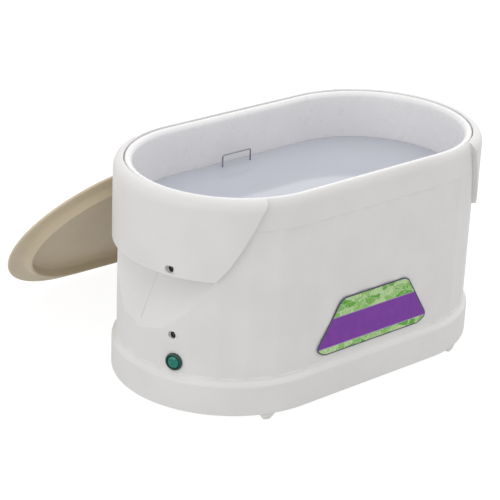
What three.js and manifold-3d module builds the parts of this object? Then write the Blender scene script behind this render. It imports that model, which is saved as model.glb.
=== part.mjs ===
// Tabletop paraffin wax bath: a moulded housing with a grip hood at each end, a heated
// tank filled with wax, a lift-out wire grille, and a lid that leans on the back wall.
// Millimetres, +Z up. The origin is the centre of the base pan's underside, +X runs along
// the length, and the long wall that carries the label faces -Y.
import * as THREE from "three";
import { mergeVertices } from "three/addons/utils/BufferGeometryUtils.js";
import Module from "manifold-3d";

const wasm = await Module();
wasm.setup();

// ---- Driving dimensions ----
const HALF_STRAIGHT = 86.4; // half the straight run of every oval outline
const WALL_RADIUS = 109; // end radius and half width of the plain wall
const SKIRT_RADIUS = 113;
const HOOD_RADIUS = 113.6;
const RIM_TOP = 214;
const SHELL = 3.5; // housing wall thickness
const GAP = 0.3; // clearance between neighbouring pieces

const SKIRT_TOP = 30;
const SHOULDER_TOP = 34.2; // where the skirt's sloping shoulder meets the wall
const FLUTE_TOP = 184;
const FLUTE_DEPTH = 0.95;
const FLUTES_PER_END = 12;
const FLUTES_PER_SIDE = 6;
const SIDE_PITCH = 28.35; // between the flutes' ridges on the straight sides
const SIDE_SHIFT = 3.5; // of the middle ridge, counter-clockwise from above

const SEAM_RADIUS = 103.6; // inside of the housing's lip, round the tank's rim
const LEDGE_RADIUS = 99.5; // inside of the ledge that carries the tank
const LEDGE_TOP = 206;
const LEDGE_THICKNESS = 6;

const HOOD_BOTTOM = 134.5;
const HOOD_ANGLES = [42.6, 44.4, 50, 55.5, 60.6, 66]; // half angle of the hood, foot to crown
const HOOD_LEVELS = [HOOD_BOTTOM, 137, 151, 169, 188, 211];
const RECESS_FACE = 79.2; // from an end's axis to the hand recess's face, under the hood
const RECESS_SLOPE = 0.452; // how far that face comes forward for each millimetre down

const TANK_FLOOR = 78; // inside face of the tank's floor
const TANK_WALL = 2;
const TANK_SHORT = 22; // how much each end of the tank steps in, to clear the hand recess
const STEP_TOP = 162; // the ends slope in from here
const STEP_FOOT = 138;
const WAX_TOP = 166;

const CONTROL_Y = -39.6; // the screws in both pockets stand one above the other here
const POCKET = { radius: 3.6, back: 0.8, front: 4.8 }; // a slot, reaching further to the front
const UPPER_POCKET = { z: 141, floorX: -190, bossX: -190.4 };
const LOWER_POCKET = { z: 73.3, floorX: -185.9, bossX: -185.4 };
const BRACKET_X = -178.8; // outer face of the control bracket
const LAMP = { y: -42.8, z: 47, flange: 8.5, barrel: 6.2 };

const FOOT_HEIGHT = 7;
const FOOT_X = 121.5;
const PAN_RADIUS = 109;
const PAN_THICKNESS = 3;
const BOSS = { x: 70, y: 101.5, radius: 5.5, top: 60 };

const LID_RADIUS = 117;
const LID_TILT = 49.9; // degrees from lying flat
const LID_SPIN = 1.8; // degrees in its own plane, as it was put down
const LID_CENTRE = [-5.3, 186.9, 84.1];

const GRILLE_WIRE = 0.8; // radius
const GRILLE_RADIUS = 83.2;
const LONG_WIRES = [-54, -18, 18, 54]; // their places across the grille
const CROSS_WIRES = 3; // on each side of the middle one
const CROSS_PITCH = 42;
const HANDLE = { x0: -30, x1: 6, y: 84, top: 178.5 };

// ---- Finishes ----
const white = finish(0xe2e1df, 0.42, 0);
const enamel = finish(0xd6d5d7, 0.3, 0);
const steel = finish(0xb9bcc0, 0.3, 1);
const zinc = finish(0x9a9c9b, 0.45, 1);
const rubber = finish(0xe0dfdc, 0.8, 0);
const silicone = finish(0xc9c6c0, 0.7, 0);
const blackPlastic = finish(0x1d1f20, 0.5, 0);
const tan = finish(0xb8a684, 0.45, 0);

function finish(color, roughness, metalness) {
  return new THREE.MeshStandardMaterial({ color, roughness, metalness });
}

// ---- Oval outlines ----
// A station is a point on the oval's centre line with the outward direction there.
function endAngles(steps) {
  return Array.from({ length: steps + 1 }, (_, i) => -90 + (180 * i) / steps);
}

function endStation(side, degrees) {
  const a = THREE.MathUtils.degToRad(degrees);
  return { x: side * HALF_STRAIGHT, nx: side * Math.cos(a), ny: side * Math.sin(a) };
}

function ovalStations(stepsPerEnd) {
  const angles = endAngles(stepsPerEnd);
  return [...angles.map((a) => endStation(1, a)), ...angles.map((a) => endStation(-1, a))];
}

function ringAt(stations, radius, z) {
  return stations.map((s, i) => {
    const r = typeof radius === "function" ? radius(s, i) : radius;
    return [s.x + r * s.nx, r * s.ny, z];
  });
}

// ---- Solids from stacked outlines ----
function geometryFrom(points, faces) {
  const g = new THREE.BufferGeometry();
  g.setAttribute("position", new THREE.Float32BufferAttribute(points.flat(), 3));
  g.setIndex(faces.flat());
  return g;
}

function skin(count, rows, closed) {
  const faces = [];
  const last = closed ? rows : rows - 1;
  for (let k = 0; k < last; k++) {
    const low = k * count;
    const high = ((k + 1) % rows) * count;
    for (let i = 0; i < count; i++) {
      const j = (i + 1) % count;
      faces.push([low + i, low + j, high + j], [low + i, high + j, high + i]);
    }
  }
  return faces;
}

function capFaces(ring, offset, up) {
  const flat = ring.map((p) => new THREE.Vector2(p[0], p[1]));
  return THREE.ShapeUtils.triangulateShape(flat, []).map(([a, b, c]) => {
    const turn = (flat[b].x - flat[a].x) * (flat[c].y - flat[a].y);
    const area = turn - (flat[b].y - flat[a].y) * (flat[c].x - flat[a].x);
    const face = area > 0 === up ? [a, b, c] : [a, c, b];
    return face.map((v) => v + offset);
  });
}

// Outlines with equal point counts, counter-clockwise from above, listed from the bottom up.
function stack(rings) {
  const count = rings[0].length;
  const top = rings.length - 1;
  const faces = skin(count, rings.length, false);
  faces.push(...capFaces(rings[0], 0, false));
  faces.push(...capFaces(rings[top], top * count, true));
  return geometryFrom(rings.flat(), faces);
}

// A closed band round the oval: the profile runs up its outside and down its inside.
function band(stations, profile) {
  const rings = profile.map(([radius, z]) => ringAt(stations, radius, z));
  return geometryFrom(rings.flat(), skin(stations.length, rings.length, true));
}

// The same oval with its straight run shorter at each end.
function shortened(stations, short) {
  return stations.map((s) => ({ ...s, x: s.x - Math.sign(s.x) * short }));
}

function ovalStack(stations, profile) {
  return stack(
    profile.map(([radius, z, short = 0]) => ringAt(shortened(stations, short), radius, z)),
  );
}

// Part of an end, from -angle to +angle, between an inner and an outer radius.
function endBlock(side, levels, steps) {
  return stack(
    levels.map(({ angle, inner, outer, z }) => {
      const turns = Array.from({ length: steps + 1 }, (_, i) => -angle + (2 * angle * i) / steps);
      const at = (radius, t) => {
        const s = endStation(side, t);
        const r = typeof radius === "function" ? radius(t, z) : radius;
        return [s.x + r * s.nx, r * s.ny, z];
      };
      return [...turns.map((t) => at(outer, t)), ...turns.toReversed().map((t) => at(inner, t))];
    }),
  );
}

// ---- Joining and cutting ----
function solid(geometry) {
  const plain = geometry.index ? geometry.toNonIndexed() : geometry.clone();
  plain.deleteAttribute("normal");
  plain.deleteAttribute("uv");
  const merged = mergeVertices(plain, 1e-4);
  return new wasm.Manifold(
    new wasm.Mesh({
      numProp: 3,
      vertProperties: merged.attributes.position.array,
      triVerts: new Uint32Array(merged.index.array),
    }),
  );
}

function geometryOf(made) {
  const out = made.getMesh();
  const g = new THREE.BufferGeometry();
  g.setAttribute("position", new THREE.BufferAttribute(new Float32Array(out.vertProperties), 3));
  g.setIndex(new THREE.BufferAttribute(new Uint32Array(out.triVerts), 1));
  return g;
}

function joined(...geometries) {
  return geometries.map(solid).reduce((a, b) => a.add(b));
}

// ---- Simple shapes ----
function box(size, centre) {
  return new THREE.BoxGeometry(...size).translate(...centre);
}

function roundBar(radius, from, to, sides = 12) {
  const a = new THREE.Vector3(...from);
  const along = new THREE.Vector3(...to).sub(a);
  const turn = new THREE.Quaternion().setFromUnitVectors(
    new THREE.Vector3(0, 1, 0),
    along.clone().normalize(),
  );
  const middle = a.addScaledVector(along, 0.5);
  return new THREE.CylinderGeometry(radius, radius, along.length(), sides)
    .applyQuaternion(turn)
    .translate(middle.x, middle.y, middle.z);
}

// Turned about the local +Z axis: profile points are [radius, z], from axis to axis.
function turned(profile, sides = 16) {
  const points = profile.map(([r, z]) => new THREE.Vector2(r, z));
  return new THREE.LatheGeometry(points, sides).rotateX(Math.PI / 2);
}

function cord(points, radius, steps, sides = 8) {
  const path = new THREE.CatmullRomCurve3(points.map((p) => new THREE.Vector3(...p)));
  const round = new THREE.Shape(
    Array.from({ length: sides }, (_, i) => {
      const a = (2 * Math.PI * i) / sides;
      return new THREE.Vector2(radius * Math.cos(a), radius * Math.sin(a));
    }),
  );
  return new THREE.ExtrudeGeometry(round, { steps, bevelEnabled: false, extrudePath: path });
}

function hexNut(width, bore, height) {
  const body = new THREE.CylinderGeometry(width / Math.sqrt(3), width / Math.sqrt(3), height, 6);
  const hole = new THREE.CylinderGeometry(bore, bore, height * 2, 12);
  return geometryOf(solid(body.rotateX(Math.PI / 2)).subtract(solid(hole.rotateX(Math.PI / 2))));
}

// ---- Scene graph ----
const bath = new THREE.Group();

function place(name, geometry, material, parent = bath) {
  geometry.computeVertexNormals();
  const mesh = new THREE.Mesh(geometry, material.clone());
  mesh.name = name;
  parent.add(mesh);
  return mesh;
}

const CORNERS = [
  { name: "front_left", sx: -1, sy: -1 },
  { name: "front_right", sx: 1, sy: -1 },
  { name: "back_left", sx: -1, sy: 1 },
  { name: "back_right", sx: 1, sy: 1 },
];
const plainOval = ovalStations(16);

// ---- Outer housing ----
// Each flute runs from ridge to ridge and has three stations between them. The flutes are
// shallow arcs on the straight sides, which makes them flat facets on the round ends.
function flutedStations() {
  const arc = Math.PI * WALL_RADIUS;
  const half = arc + 2 * HALF_STRAIGHT;
  const onPath = (distance) => {
    const d = distance % (2 * half);
    const side = d < half ? 1 : -1;
    const local = side > 0 ? d : d - half;
    if (local <= arc) return endStation(side, -90 + (local / arc) * 180);
    return { x: side * (HALF_STRAIGHT - (local - arc)), nx: 0, ny: side };
  };
  const firstOnSide = arc + HALF_STRAIGHT + SIDE_SHIFT - (FLUTES_PER_SIDE / 2) * SIDE_PITCH;
  const pastSide = firstOnSide + FLUTES_PER_SIDE * SIDE_PITCH - half;
  const ridges = [];
  for (const start of [0, half]) {
    ridges.push(start + pastSide);
    for (let i = 1; i < FLUTES_PER_END; i++) ridges.push(start + (i * arc) / FLUTES_PER_END);
    for (let i = 0; i < FLUTES_PER_SIDE; i++) ridges.push(start + firstOnSide + i * SIDE_PITCH);
  }
  ridges.push(ridges[0] + 2 * half);
  const stations = [];
  for (let k = 0; k + 1 < ridges.length; k++) {
    for (const t of [0, 0.25, 0.5, 0.75]) {
      const distance = ridges[k] + t * (ridges[k + 1] - ridges[k]);
      stations.push({ ...onPath(distance), flute: 4 * FLUTE_DEPTH * t * (1 - t) });
    }
  }
  return stations;
}

function wallBody() {
  const fluted = (s) => WALL_RADIUS - s.flute;
  return ovalStack(flutedStations(), [
    [SKIRT_RADIUS - 2, 0],
    [SKIRT_RADIUS, 3],
    [SKIRT_RADIUS, SKIRT_TOP],
    [WALL_RADIUS + 0.4, SHOULDER_TOP],
    [fluted, SHOULDER_TOP + 0.8],
    [fluted, FLUTE_TOP - 0.8],
    [WALL_RADIUS, FLUTE_TOP],
    [WALL_RADIUS, RIM_TOP - 8],
    [WALL_RADIUS - 1.2, RIM_TOP - 2],
    [WALL_RADIUS - 2.8, RIM_TOP],
  ]);
}

function hoodBody(side) {
  const levels = HOOD_LEVELS.map((z, i) => ({
    angle: HOOD_ANGLES[i],
    inner: SEAM_RADIUS,
    outer: HOOD_RADIUS,
    z,
  }));
  levels[levels.length - 1].z = RIM_TOP - 8;
  const crown = { ...levels[levels.length - 1] };
  levels.push({ ...crown, outer: HOOD_RADIUS - 2.3, z: RIM_TOP - 2.3 });
  levels.push({ ...crown, outer: WALL_RADIUS - 2.8, z: RIM_TOP });
  return endBlock(side, levels, 10);
}

// Hollow behind the hood, one shell thickness in from its faces.
function hoodHollow(side) {
  const inset = 2;
  const levels = HOOD_LEVELS.slice(1, -1).map((z, i) => ({
    angle: HOOD_ANGLES[i + 1] - inset,
    inner: LEDGE_RADIUS,
    outer: HOOD_RADIUS - SHELL,
    z,
  }));
  levels[0].z = HOOD_BOTTOM + SHELL;
  return endBlock(side, levels, 8);
}

// Hand recess under the hood: a flat face that leans inward up to the hood's underside.
// An inset moves the face and the top into the housing.
function recessBlock(side, inset) {
  const face = HALF_STRAIGHT + RECESS_FACE - inset * Math.hypot(1, RECESS_SLOPE);
  const top = HOOD_BOTTOM + inset;
  const inside = face - RECESS_SLOPE * inset;
  const outside = HALF_STRAIGHT + HOOD_RADIUS + 4;
  const foot = top - (outside - inside) / RECESS_SLOPE;
  const outline = new THREE.Shape([
    new THREE.Vector2(inside, top),
    new THREE.Vector2(outside, foot),
    new THREE.Vector2(outside, top),
  ]);
  const wide = 2 * WALL_RADIUS;
  return new THREE.ExtrudeGeometry(outline, { depth: wide, bevelEnabled: false })
    .rotateX(Math.PI / 2)
    .translate(0, wide / 2, 0)
    .rotateZ(side > 0 ? 0 : Math.PI);
}

// A slot with a flat floor, so it runs out where the wall curves back to the floor's level.
function pocketCut({ z, floorX }) {
  const { radius, back, front } = POCKET;
  const outX = floorX - 20;
  const ends = [CONTROL_Y - front, CONTROL_Y + back];
  const bars = ends.map((y) => roundBar(radius, [floorX, y, z], [outX, y, z], 16));
  const size = [floorX - outX, front + back, 2 * radius];
  return joined(...bars, box(size, [(floorX + outX) / 2, CONTROL_Y + (back - front) / 2, z]));
}

// The lamp stands square to the curved end wall.
const lampTurn = Math.atan2(LAMP.y, -Math.sqrt(WALL_RADIUS ** 2 - LAMP.y ** 2));
function lampPoint(radius) {
  return [-HALF_STRAIGHT + radius * Math.cos(lampTurn), radius * Math.sin(lampTurn), LAMP.z];
}

const lampSeat = WALL_RADIUS - 1.1;
const CORD_EXIT = { x: 60, z: 19, radius: 6.5 };
const SCREW_HEAD = { radius: 3.2, depth: 1.4 };

function housing() {
  const innerWall = WALL_RADIUS - SHELL;
  let hollow = solid(
    ovalStack(plainOval, [
      [SKIRT_RADIUS - SHELL, -1],
      [SKIRT_RADIUS - SHELL, SKIRT_TOP - 1],
      [innerWall, SKIRT_TOP + 5],
      [innerWall, LEDGE_TOP - LEDGE_THICKNESS],
      [LEDGE_RADIUS, LEDGE_TOP - LEDGE_THICKNESS],
      [LEDGE_RADIUS, LEDGE_TOP],
      [SEAM_RADIUS, LEDGE_TOP],
      [SEAM_RADIUS, RIM_TOP + 1],
    ]),
  );
  let body = solid(wallBody());
  for (const side of [-1, 1]) {
    body = body.add(solid(hoodBody(side)));
    hollow = hollow.add(solid(hoodHollow(side)));
    hollow = hollow.subtract(solid(recessBlock(side, SHELL)));
  }
  body = body.subtract(hollow);
  for (const side of [-1, 1]) {
    body = body.subtract(solid(recessBlock(side, 0)));
  }
  for (const { sx, sy } of CORNERS) {
    const at = [sx * BOSS.x, sy * BOSS.y];
    const pilot = roundBar(2, [...at, PAN_THICKNESS], [...at, PAN_THICKNESS + 20], 12);
    body = body.add(solid(roundBar(BOSS.radius, [...at, PAN_THICKNESS + GAP], [...at, BOSS.top])));
    body = body.subtract(solid(pilot));
  }
  for (const pocket of [UPPER_POCKET, LOWER_POCKET]) {
    const at = (x) => [x, CONTROL_Y, pocket.z];
    body = body.add(solid(roundBar(5.5, at(pocket.bossX), at(BRACKET_X - GAP), 14)));
    body = body.subtract(pocketCut(pocket));
    const seat = pocket.floorX + SCREW_HEAD.depth + GAP;
    body = body.subtract(
      solid(roundBar(SCREW_HEAD.radius + GAP, at(pocket.floorX - 1), at(seat), 14)),
    );
    body = body.subtract(solid(roundBar(1.9, at(pocket.floorX), at(BRACKET_X + 5), 12)));
  }
  body = body.subtract(
    solid(roundBar(LAMP.barrel + GAP, lampPoint(WALL_RADIUS + 9), lampPoint(95), 16)),
  );
  // A flat seat for the lamp's flange.
  body = body.subtract(
    solid(roundBar(LAMP.flange + GAP, lampPoint(WALL_RADIUS + 9), lampPoint(lampSeat), 20)),
  );
  body = body.subtract(
    solid(roundBar(CORD_EXIT.radius, [CORD_EXIT.x, 100, CORD_EXIT.z], [CORD_EXIT.x, 120, CORD_EXIT.z], 16)),
  );
  return geometryOf(body);
}
place("outer_housing", housing(), white);

// ---- Tank, gasket and wax ----
function tankLiner() {
  const outside = [
    [76, TANK_FLOOR - TANK_WALL, TANK_SHORT],
    [85, TANK_FLOOR - 0.5, TANK_SHORT],
    [90.5, TANK_FLOOR + 6, TANK_SHORT],
    [92.5, TANK_FLOOR + 17, TANK_SHORT],
    [94.3, STEP_FOOT, TANK_SHORT],
    [95.3, STEP_TOP],
    [97, 203],
    [98.5, LEDGE_TOP + 1.2],
    [SEAM_RADIUS - 0.5, LEDGE_TOP + 1.2],
    [SEAM_RADIUS - 0.5, 211],
    [101.5, 213],
    [98.8, 213],
    [96.2, 210.5],
    [95, 203],
    [93.3, WAX_TOP],
    [93.15, STEP_TOP],
    [92.2, STEP_FOOT, TANK_SHORT],
    [90.5, TANK_FLOOR + 17, TANK_SHORT],
    [88.5, TANK_FLOOR + 7.5, TANK_SHORT],
    [84, TANK_FLOOR + 1.8, TANK_SHORT],
    [76, TANK_FLOOR, TANK_SHORT],
  ];
  let tank = solid(ovalStack(plainOval, outside));
  for (const side of [-1, 1]) {
    const stud = [side * 60, 0];
    tank = tank.add(solid(roundBar(2.5, [...stud, 62], [...stud, TANK_FLOOR - 0.5])));
  }
  return geometryOf(tank);
}
place("tank_liner", tankLiner(), enamel);

place(
  "rim_gasket",
  band(plainOval, [
    [SEAM_RADIUS - 0.4, LEDGE_TOP + 0.1],
    [SEAM_RADIUS - 0.4, LEDGE_TOP + 1],
    [LEDGE_RADIUS + 0.3, LEDGE_TOP + 1],
    [LEDGE_RADIUS + 0.3, LEDGE_TOP + 0.1],
  ]),
  silicone,
);

const handleLegs = [HANDLE.x0, HANDLE.x1].flatMap((x) => [-1, 1].map((side) => [x, side * HANDLE.y]));

function wax() {
  const bottom = TANK_FLOOR + 10;
  let body = solid(
    ovalStack(plainOval, [
      [88.3, bottom, TANK_SHORT],
      [90.1, TANK_FLOOR + 17, TANK_SHORT],
      [91.8, STEP_FOOT, TANK_SHORT],
      [92.7, STEP_TOP],
      [92.9, WAX_TOP],
    ]),
  );
  for (const [x, y] of handleLegs) {
    const side = 2 * (GRILLE_WIRE + 0.6);
    body = body.subtract(solid(box([side, side, 200], [x, y, WAX_TOP - 50])));
  }
  return geometryOf(body);
}
place("paraffin_wax", wax(), finish(0xc0c1cc, 0.12, 0));

// ---- Lift-out wire grille ----
// Long wires lie lowest, and the edge wire and the cross wires rest on them.
const longWireZ = TANK_FLOOR + GRILLE_WIRE + 2;
const edgeWireZ = longWireZ + 2 * GRILLE_WIRE - 0.4;

const grilleStraight = HALF_STRAIGHT - TANK_SHORT;

function grille() {
  const r = GRILLE_WIRE;
  const edge = band(
    shortened(plainOval, TANK_SHORT),
    Array.from({ length: 6 }, (_, i) => {
      const a = (Math.PI * i) / 3 - Math.PI / 2;
      return [GRILLE_RADIUS + r * Math.cos(a), edgeWireZ + r * Math.sin(a)];
    }),
  );
  const reach = (y) => grilleStraight + Math.sqrt(GRILLE_RADIUS ** 2 - y ** 2);
  const parts = [edge];
  for (const y of LONG_WIRES) {
    parts.push(roundBar(r, [-reach(y), y, longWireZ], [reach(y), y, longWireZ], 6));
  }
  for (let i = -CROSS_WIRES; i <= CROSS_WIRES; i++) {
    const x = i * CROSS_PITCH;
    const past = Math.max(Math.abs(x) - grilleStraight, 0);
    const y = Math.sqrt(GRILLE_RADIUS ** 2 - past ** 2);
    parts.push(roundBar(r, [x, -y, edgeWireZ], [x, y, edgeWireZ], 6));
  }
  return geometryOf(joined(...parts));
}
place("wire_grille", grille(), steel);

// A bent wire that stands on the grille's edge wire, with its bar above the wax.
function grilleHandle(side) {
  const r = GRILLE_WIRE;
  const y = side * HANDLE.y;
  const foot = edgeWireZ + r + GAP;
  const bar = HANDLE.top - r;
  const legs = [HANDLE.x0, HANDLE.x1].map((x) => roundBar(r, [x, y, foot], [x, y, HANDLE.top], 6));
  return geometryOf(joined(...legs, roundBar(r, [HANDLE.x0 - r, y, bar], [HANDLE.x1 + r, y, bar], 6)));
}
place("grille_handle_front", grilleHandle(-1), steel);
place("grille_handle_back", grilleHandle(1), steel);

// ---- Base pan, feet and case screws ----
const footRadial = 107;
const footTurn = Math.acos((FOOT_X - HALF_STRAIGHT) / footRadial);
const pegInset = 2.8;
const FOOT = { deep: 9, wide: 15, tipDeep: 6, tipWide: 7, taper: 6.1 };
const VENT = { pairs: 3, pitch: 16, middle: 40, width: 4, length: 46 };

function footAt({ sx, sy }, radial) {
  return [sx * (HALF_STRAIGHT + radial * Math.cos(footTurn)), sy * radial * Math.sin(footTurn)];
}

function basePan() {
  let pan = solid(
    ovalStack(plainOval, [
      [PAN_RADIUS, 0],
      [PAN_RADIUS, PAN_THICKNESS],
    ]),
  );
  for (const corner of CORNERS) {
    const peg = footAt(corner, footRadial - pegInset);
    pan = pan.subtract(solid(roundBar(2.7, [...peg, -1], [...peg, PAN_THICKNESS + 1])));
    const screw = [corner.sx * BOSS.x, corner.sy * BOSS.y];
    pan = pan.subtract(solid(roundBar(2, [...screw, -1], [...screw, PAN_THICKNESS + 1])));
  }
  for (let i = -VENT.pairs; i <= VENT.pairs; i++) {
    const slot = box([VENT.width, VENT.length, 10], [i * VENT.pitch + VENT.middle, 0, 1]);
    if (i !== 0) pan = pan.subtract(solid(slot));
  }
  return geometryOf(pan);
}
place("base_pan", basePan(), white);

function foot() {
  const half = (w) => w / 2;
  const plate = (w, d, z) => [
    [-half(d), -half(w), z],
    [half(d), -half(w), z],
    [half(d), half(w), z],
    [-half(d), half(w), z],
  ];
  const body = stack([
    plate(FOOT.tipWide, FOOT.tipDeep, -FOOT_HEIGHT),
    plate(FOOT.wide, FOOT.deep, -FOOT_HEIGHT + FOOT.taper),
    plate(FOOT.wide, FOOT.deep, -0.1),
  ]);
  const peg = turned(
    [
      [0, -1],
      [2.4, -1],
      [2.4, PAN_THICKNESS + 0.2],
      [3, PAN_THICKNESS + 0.4],
      [2, PAN_THICKNESS + 3],
      [0, PAN_THICKNESS + 3],
    ],
    12,
  ).translate(-pegInset, 0, 0);
  return geometryOf(joined(body, peg));
}
for (const corner of CORNERS) {
  const mesh = place(`foot_${corner.name}`, foot(), rubber);
  const [x, y] = footAt(corner, footRadial);
  mesh.position.set(x, y, 0);
  mesh.rotation.z = Math.atan2(corner.sy * Math.sin(footTurn), corner.sx * Math.cos(footTurn));
}

function panScrew() {
  return turned(
    [
      [0, -2.3],
      [3.2, -2.3],
      [4, -0.9],
      [4, -0.1],
      [1.7, -0.1],
      [1.7, 17],
      [0.6, 18.5],
      [0, 18.5],
    ],
    14,
  );
}
for (const { name, sx, sy } of CORNERS) {
  place(`base_screw_${name}`, panScrew(), zinc).position.set(sx * BOSS.x, sy * BOSS.y, 0);
}

// ---- Heater and insulation ----
const studCuts = [-1, 1].map((side) => roundBar(3, [side * 60, 0, 0], [side * 60, 0, 90]));

function drilled(geometry, cuts) {
  return geometryOf(cuts.reduce((made, cut) => made.subtract(solid(cut)), solid(geometry)));
}

const heaterTop = TANK_FLOOR - TANK_WALL - GAP;
place(
  "heater_mat",
  drilled(
    ovalStack(ovalStations(10), [
      [66, heaterTop - 2.2, TANK_SHORT],
      [66, heaterTop, TANK_SHORT],
    ]),
    studCuts,
  ),
  finish(0xb5532f, 0.7, 0),
);
place(
  "heater_press_plate",
  drilled(
    ovalStack(ovalStations(10), [
      [62, heaterTop - 3.7, TANK_SHORT],
      [62, heaterTop - 2.5, TANK_SHORT],
    ]),
    studCuts,
  ),
  zinc,
);
for (const [name, side] of [["left", -1], ["right", 1]]) {
  place(`heater_nut_${name}`, hexNut(8, 2.8, 4), zinc).position.set(side * 60, 0, heaterTop - 6);
}

function insulationWrap() {
  const bandGeometry = band(plainOval, [
    [101, 86],
    [101, 190],
    [97.4, 190],
    [94.5, 86],
  ]);
  // One notch at the left end clears the upper screw, and below the hoods both ends are open
  // round the hand recesses.
  const notch = box([60, 28, 60], [-180, CONTROL_Y, UPPER_POCKET.z + 20]);
  let wrap = solid(bandGeometry).subtract(solid(notch));
  for (const side of [-1, 1]) {
    const foot = 80;
    const height = STEP_FOOT + 4 - foot;
    wrap = wrap.subtract(solid(box([60, 220, height], [side * 170, 0, foot + height / 2])));
  }
  return geometryOf(wrap);
}
place("insulation_wrap", insulationWrap(), finish(0xe6dfb8, 0.95, 0));

place(
  "insulation_pad",
  geometryOf(
    solid(
      ovalStack(plainOval, [
        [90, PAN_THICKNESS + GAP],
        [90, PAN_THICKNESS + 8],
      ]),
    ).subtract(solid(box([200, 200, 40], [-170, 0, 5]))),
  ),
  finish(0xe6dfb8, 0.95, 0),
);

// ---- Control bracket and what it carries ----
const SHELF_Z = 61;
const BRACKET_Y = -37;
const BRACKET_SHEET = 1.2;

function controlBracket() {
  const height = LOWER_POCKET.z + 9 - SHELF_Z;
  const sheetX = BRACKET_X + BRACKET_SHEET / 2;
  const upright = box([BRACKET_SHEET, 13, height], [sheetX, BRACKET_Y, SHELF_Z + height / 2]);
  const shelf = box([26, 13, BRACKET_SHEET], [BRACKET_X + 13, BRACKET_Y, SHELF_Z]);
  return geometryOf(joined(upright, shelf).subtract(screwHole(LOWER_POCKET)));
}

function screwHole({ z }) {
  return solid(roundBar(1.9, [BRACKET_X - 5, CONTROL_Y, z], [BRACKET_X + 5, CONTROL_Y, z]));
}

// An angle plate that stands on the recess's roof and takes the upper screw.
function hoodBrace() {
  const foot = HOOD_BOTTOM + SHELL + GAP;
  const height = 11;
  const sheetX = BRACKET_X + BRACKET_SHEET / 2;
  const upright = box([BRACKET_SHEET, 13, height], [sheetX, CONTROL_Y, foot + height / 2]);
  const lip = box([10, 13, BRACKET_SHEET], [BRACKET_X + 5, CONTROL_Y, foot + height - 0.6]);
  return geometryOf(joined(upright, lip).subtract(screwHole(UPPER_POCKET)));
}

function bracketScrew({ z, floorX }) {
  const length = BRACKET_X + 4 - floorX;
  return turned(
    [
      [0, 0],
      [SCREW_HEAD.radius, 0],
      [SCREW_HEAD.radius, SCREW_HEAD.depth],
      [1.6, SCREW_HEAD.depth],
      [1.6, length - 1],
      [0.6, length],
      [0, length],
    ],
    14,
  )
    .rotateY(Math.PI / 2)
    .translate(floorX, CONTROL_Y, z);
}

place("control_bracket", controlBracket(), zinc);
place("hood_brace", hoodBrace(), zinc);
place("bracket_screw_upper", bracketScrew(UPPER_POCKET), zinc);
place("bracket_screw_lower", bracketScrew(LOWER_POCKET), zinc);

const THERMOSTAT = [-164, BRACKET_Y, SHELF_Z + BRACKET_SHEET / 2 + 0.2];
place(
  "thermostat",
  turned(
    [
      [0, 0],
      [8, 0],
      [8, 7],
      [6.5, 7.5],
      [6.5, 13],
      [5.5, 14.5],
      [0, 14.5],
    ],
    16,
  ),
  blackPlastic,
).position.set(...THERMOSTAT);

const FUSE = { x: 29, y: -30, z: heaterTop - 7.6, radius: 2 };
place(
  "thermal_fuse",
  roundBar(FUSE.radius, [FUSE.x - 9, FUSE.y, FUSE.z], [FUSE.x + 9, FUSE.y, FUSE.z], 10),
  steel,
);

function fuseClip() {
  const inner = FUSE.radius + 0.4;
  const sleeve = turned(
    [
      [inner, -4],
      [inner + 1, -4],
      [inner + 1, 4],
      [inner, 4],
      [inner, -4],
    ],
    12,
  ).rotateY(Math.PI / 2);
  const tab = box([8, 9, 1], [0, -6.5, inner]);
  return geometryOf(joined(sleeve, tab)).translate(FUSE.x, FUSE.y, FUSE.z);
}
place("fuse_clip", fuseClip(), zinc);

// ---- Wiring ----
const BLOCK = { x: -118, y: 40, z: PAN_THICKNESS + GAP, size: [18, 34, 13] };

function terminalBlock() {
  const [sx, sy, sz] = BLOCK.size;
  let made = solid(box([sx, sy, sz], [0, 0, sz / 2]));
  for (const i of [-1, 0, 1]) {
    const y = (i * sy) / 3;
    made = made.subtract(solid(roundBar(2.6, [0, y, 5], [0, y, sz + 1])));
    made = made.subtract(solid(roundBar(1.9, [-sx, y, 5.5], [sx, y, 5.5], 10)));
  }
  return geometryOf(made);
}
place("terminal_block", terminalBlock(), finish(0xe9e4d2, 0.5, 0)).position.set(
  BLOCK.x,
  BLOCK.y,
  BLOCK.z,
);

const portX = BLOCK.x + BLOCK.size[0] / 2 + 0.4;
const portZ = BLOCK.z + 5.5;
const portY = (i) => BLOCK.y + (i * BLOCK.size[1]) / 3;
const WIRE = 1.1;
const leads = [
  {
    name: "lead_heater_live",
    color: 0x2a2a2a,
    points: [
      [portX, portY(-1), portZ],
      [-90, 24, 24],
      [-60, 22, 50],
      [-40, 20, heaterTop - 5.4],
    ],
  },
  {
    name: "lead_heater_return",
    color: 0xe8e8e8,
    points: [
      [portX, portY(0), portZ],
      [-84, 44, 26],
      [-30, 46, 48],
      [10, 30, 60],
      [18, 14, heaterTop - 5.4],
    ],
  },
  {
    name: "lead_earth",
    color: 0x3f8a3a,
    points: [
      [portX, portY(1), portZ],
      [-88, 50, 26],
      [20, 34, 34],
      [56, 12, 50],
      [59, 7, 64],
    ],
  },
  {
    name: "lead_lamp",
    color: 0x2a2a2a,
    points: [
      [BLOCK.x - BLOCK.size[0] / 2 - 0.4, portY(-1), portZ],
      [-136, 20, 24],
      [-152, -8, 34],
      [-160, -24, 40],
    ],
  },
  {
    name: "lead_thermostat",
    color: 0xb03a2e,
    points: [
      [BLOCK.x - BLOCK.size[0] / 2 - 0.4, portY(0), portZ],
      [-142, 26, 30],
      [-156, 0, 56],
      [-152.5, -20, 72],
      [-154, -30, 71],
    ],
  },
];
for (const { name, color, points } of leads) {
  place(name, cord(points, WIRE, 12, 6), finish(color, 0.6, 0));
}

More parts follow.
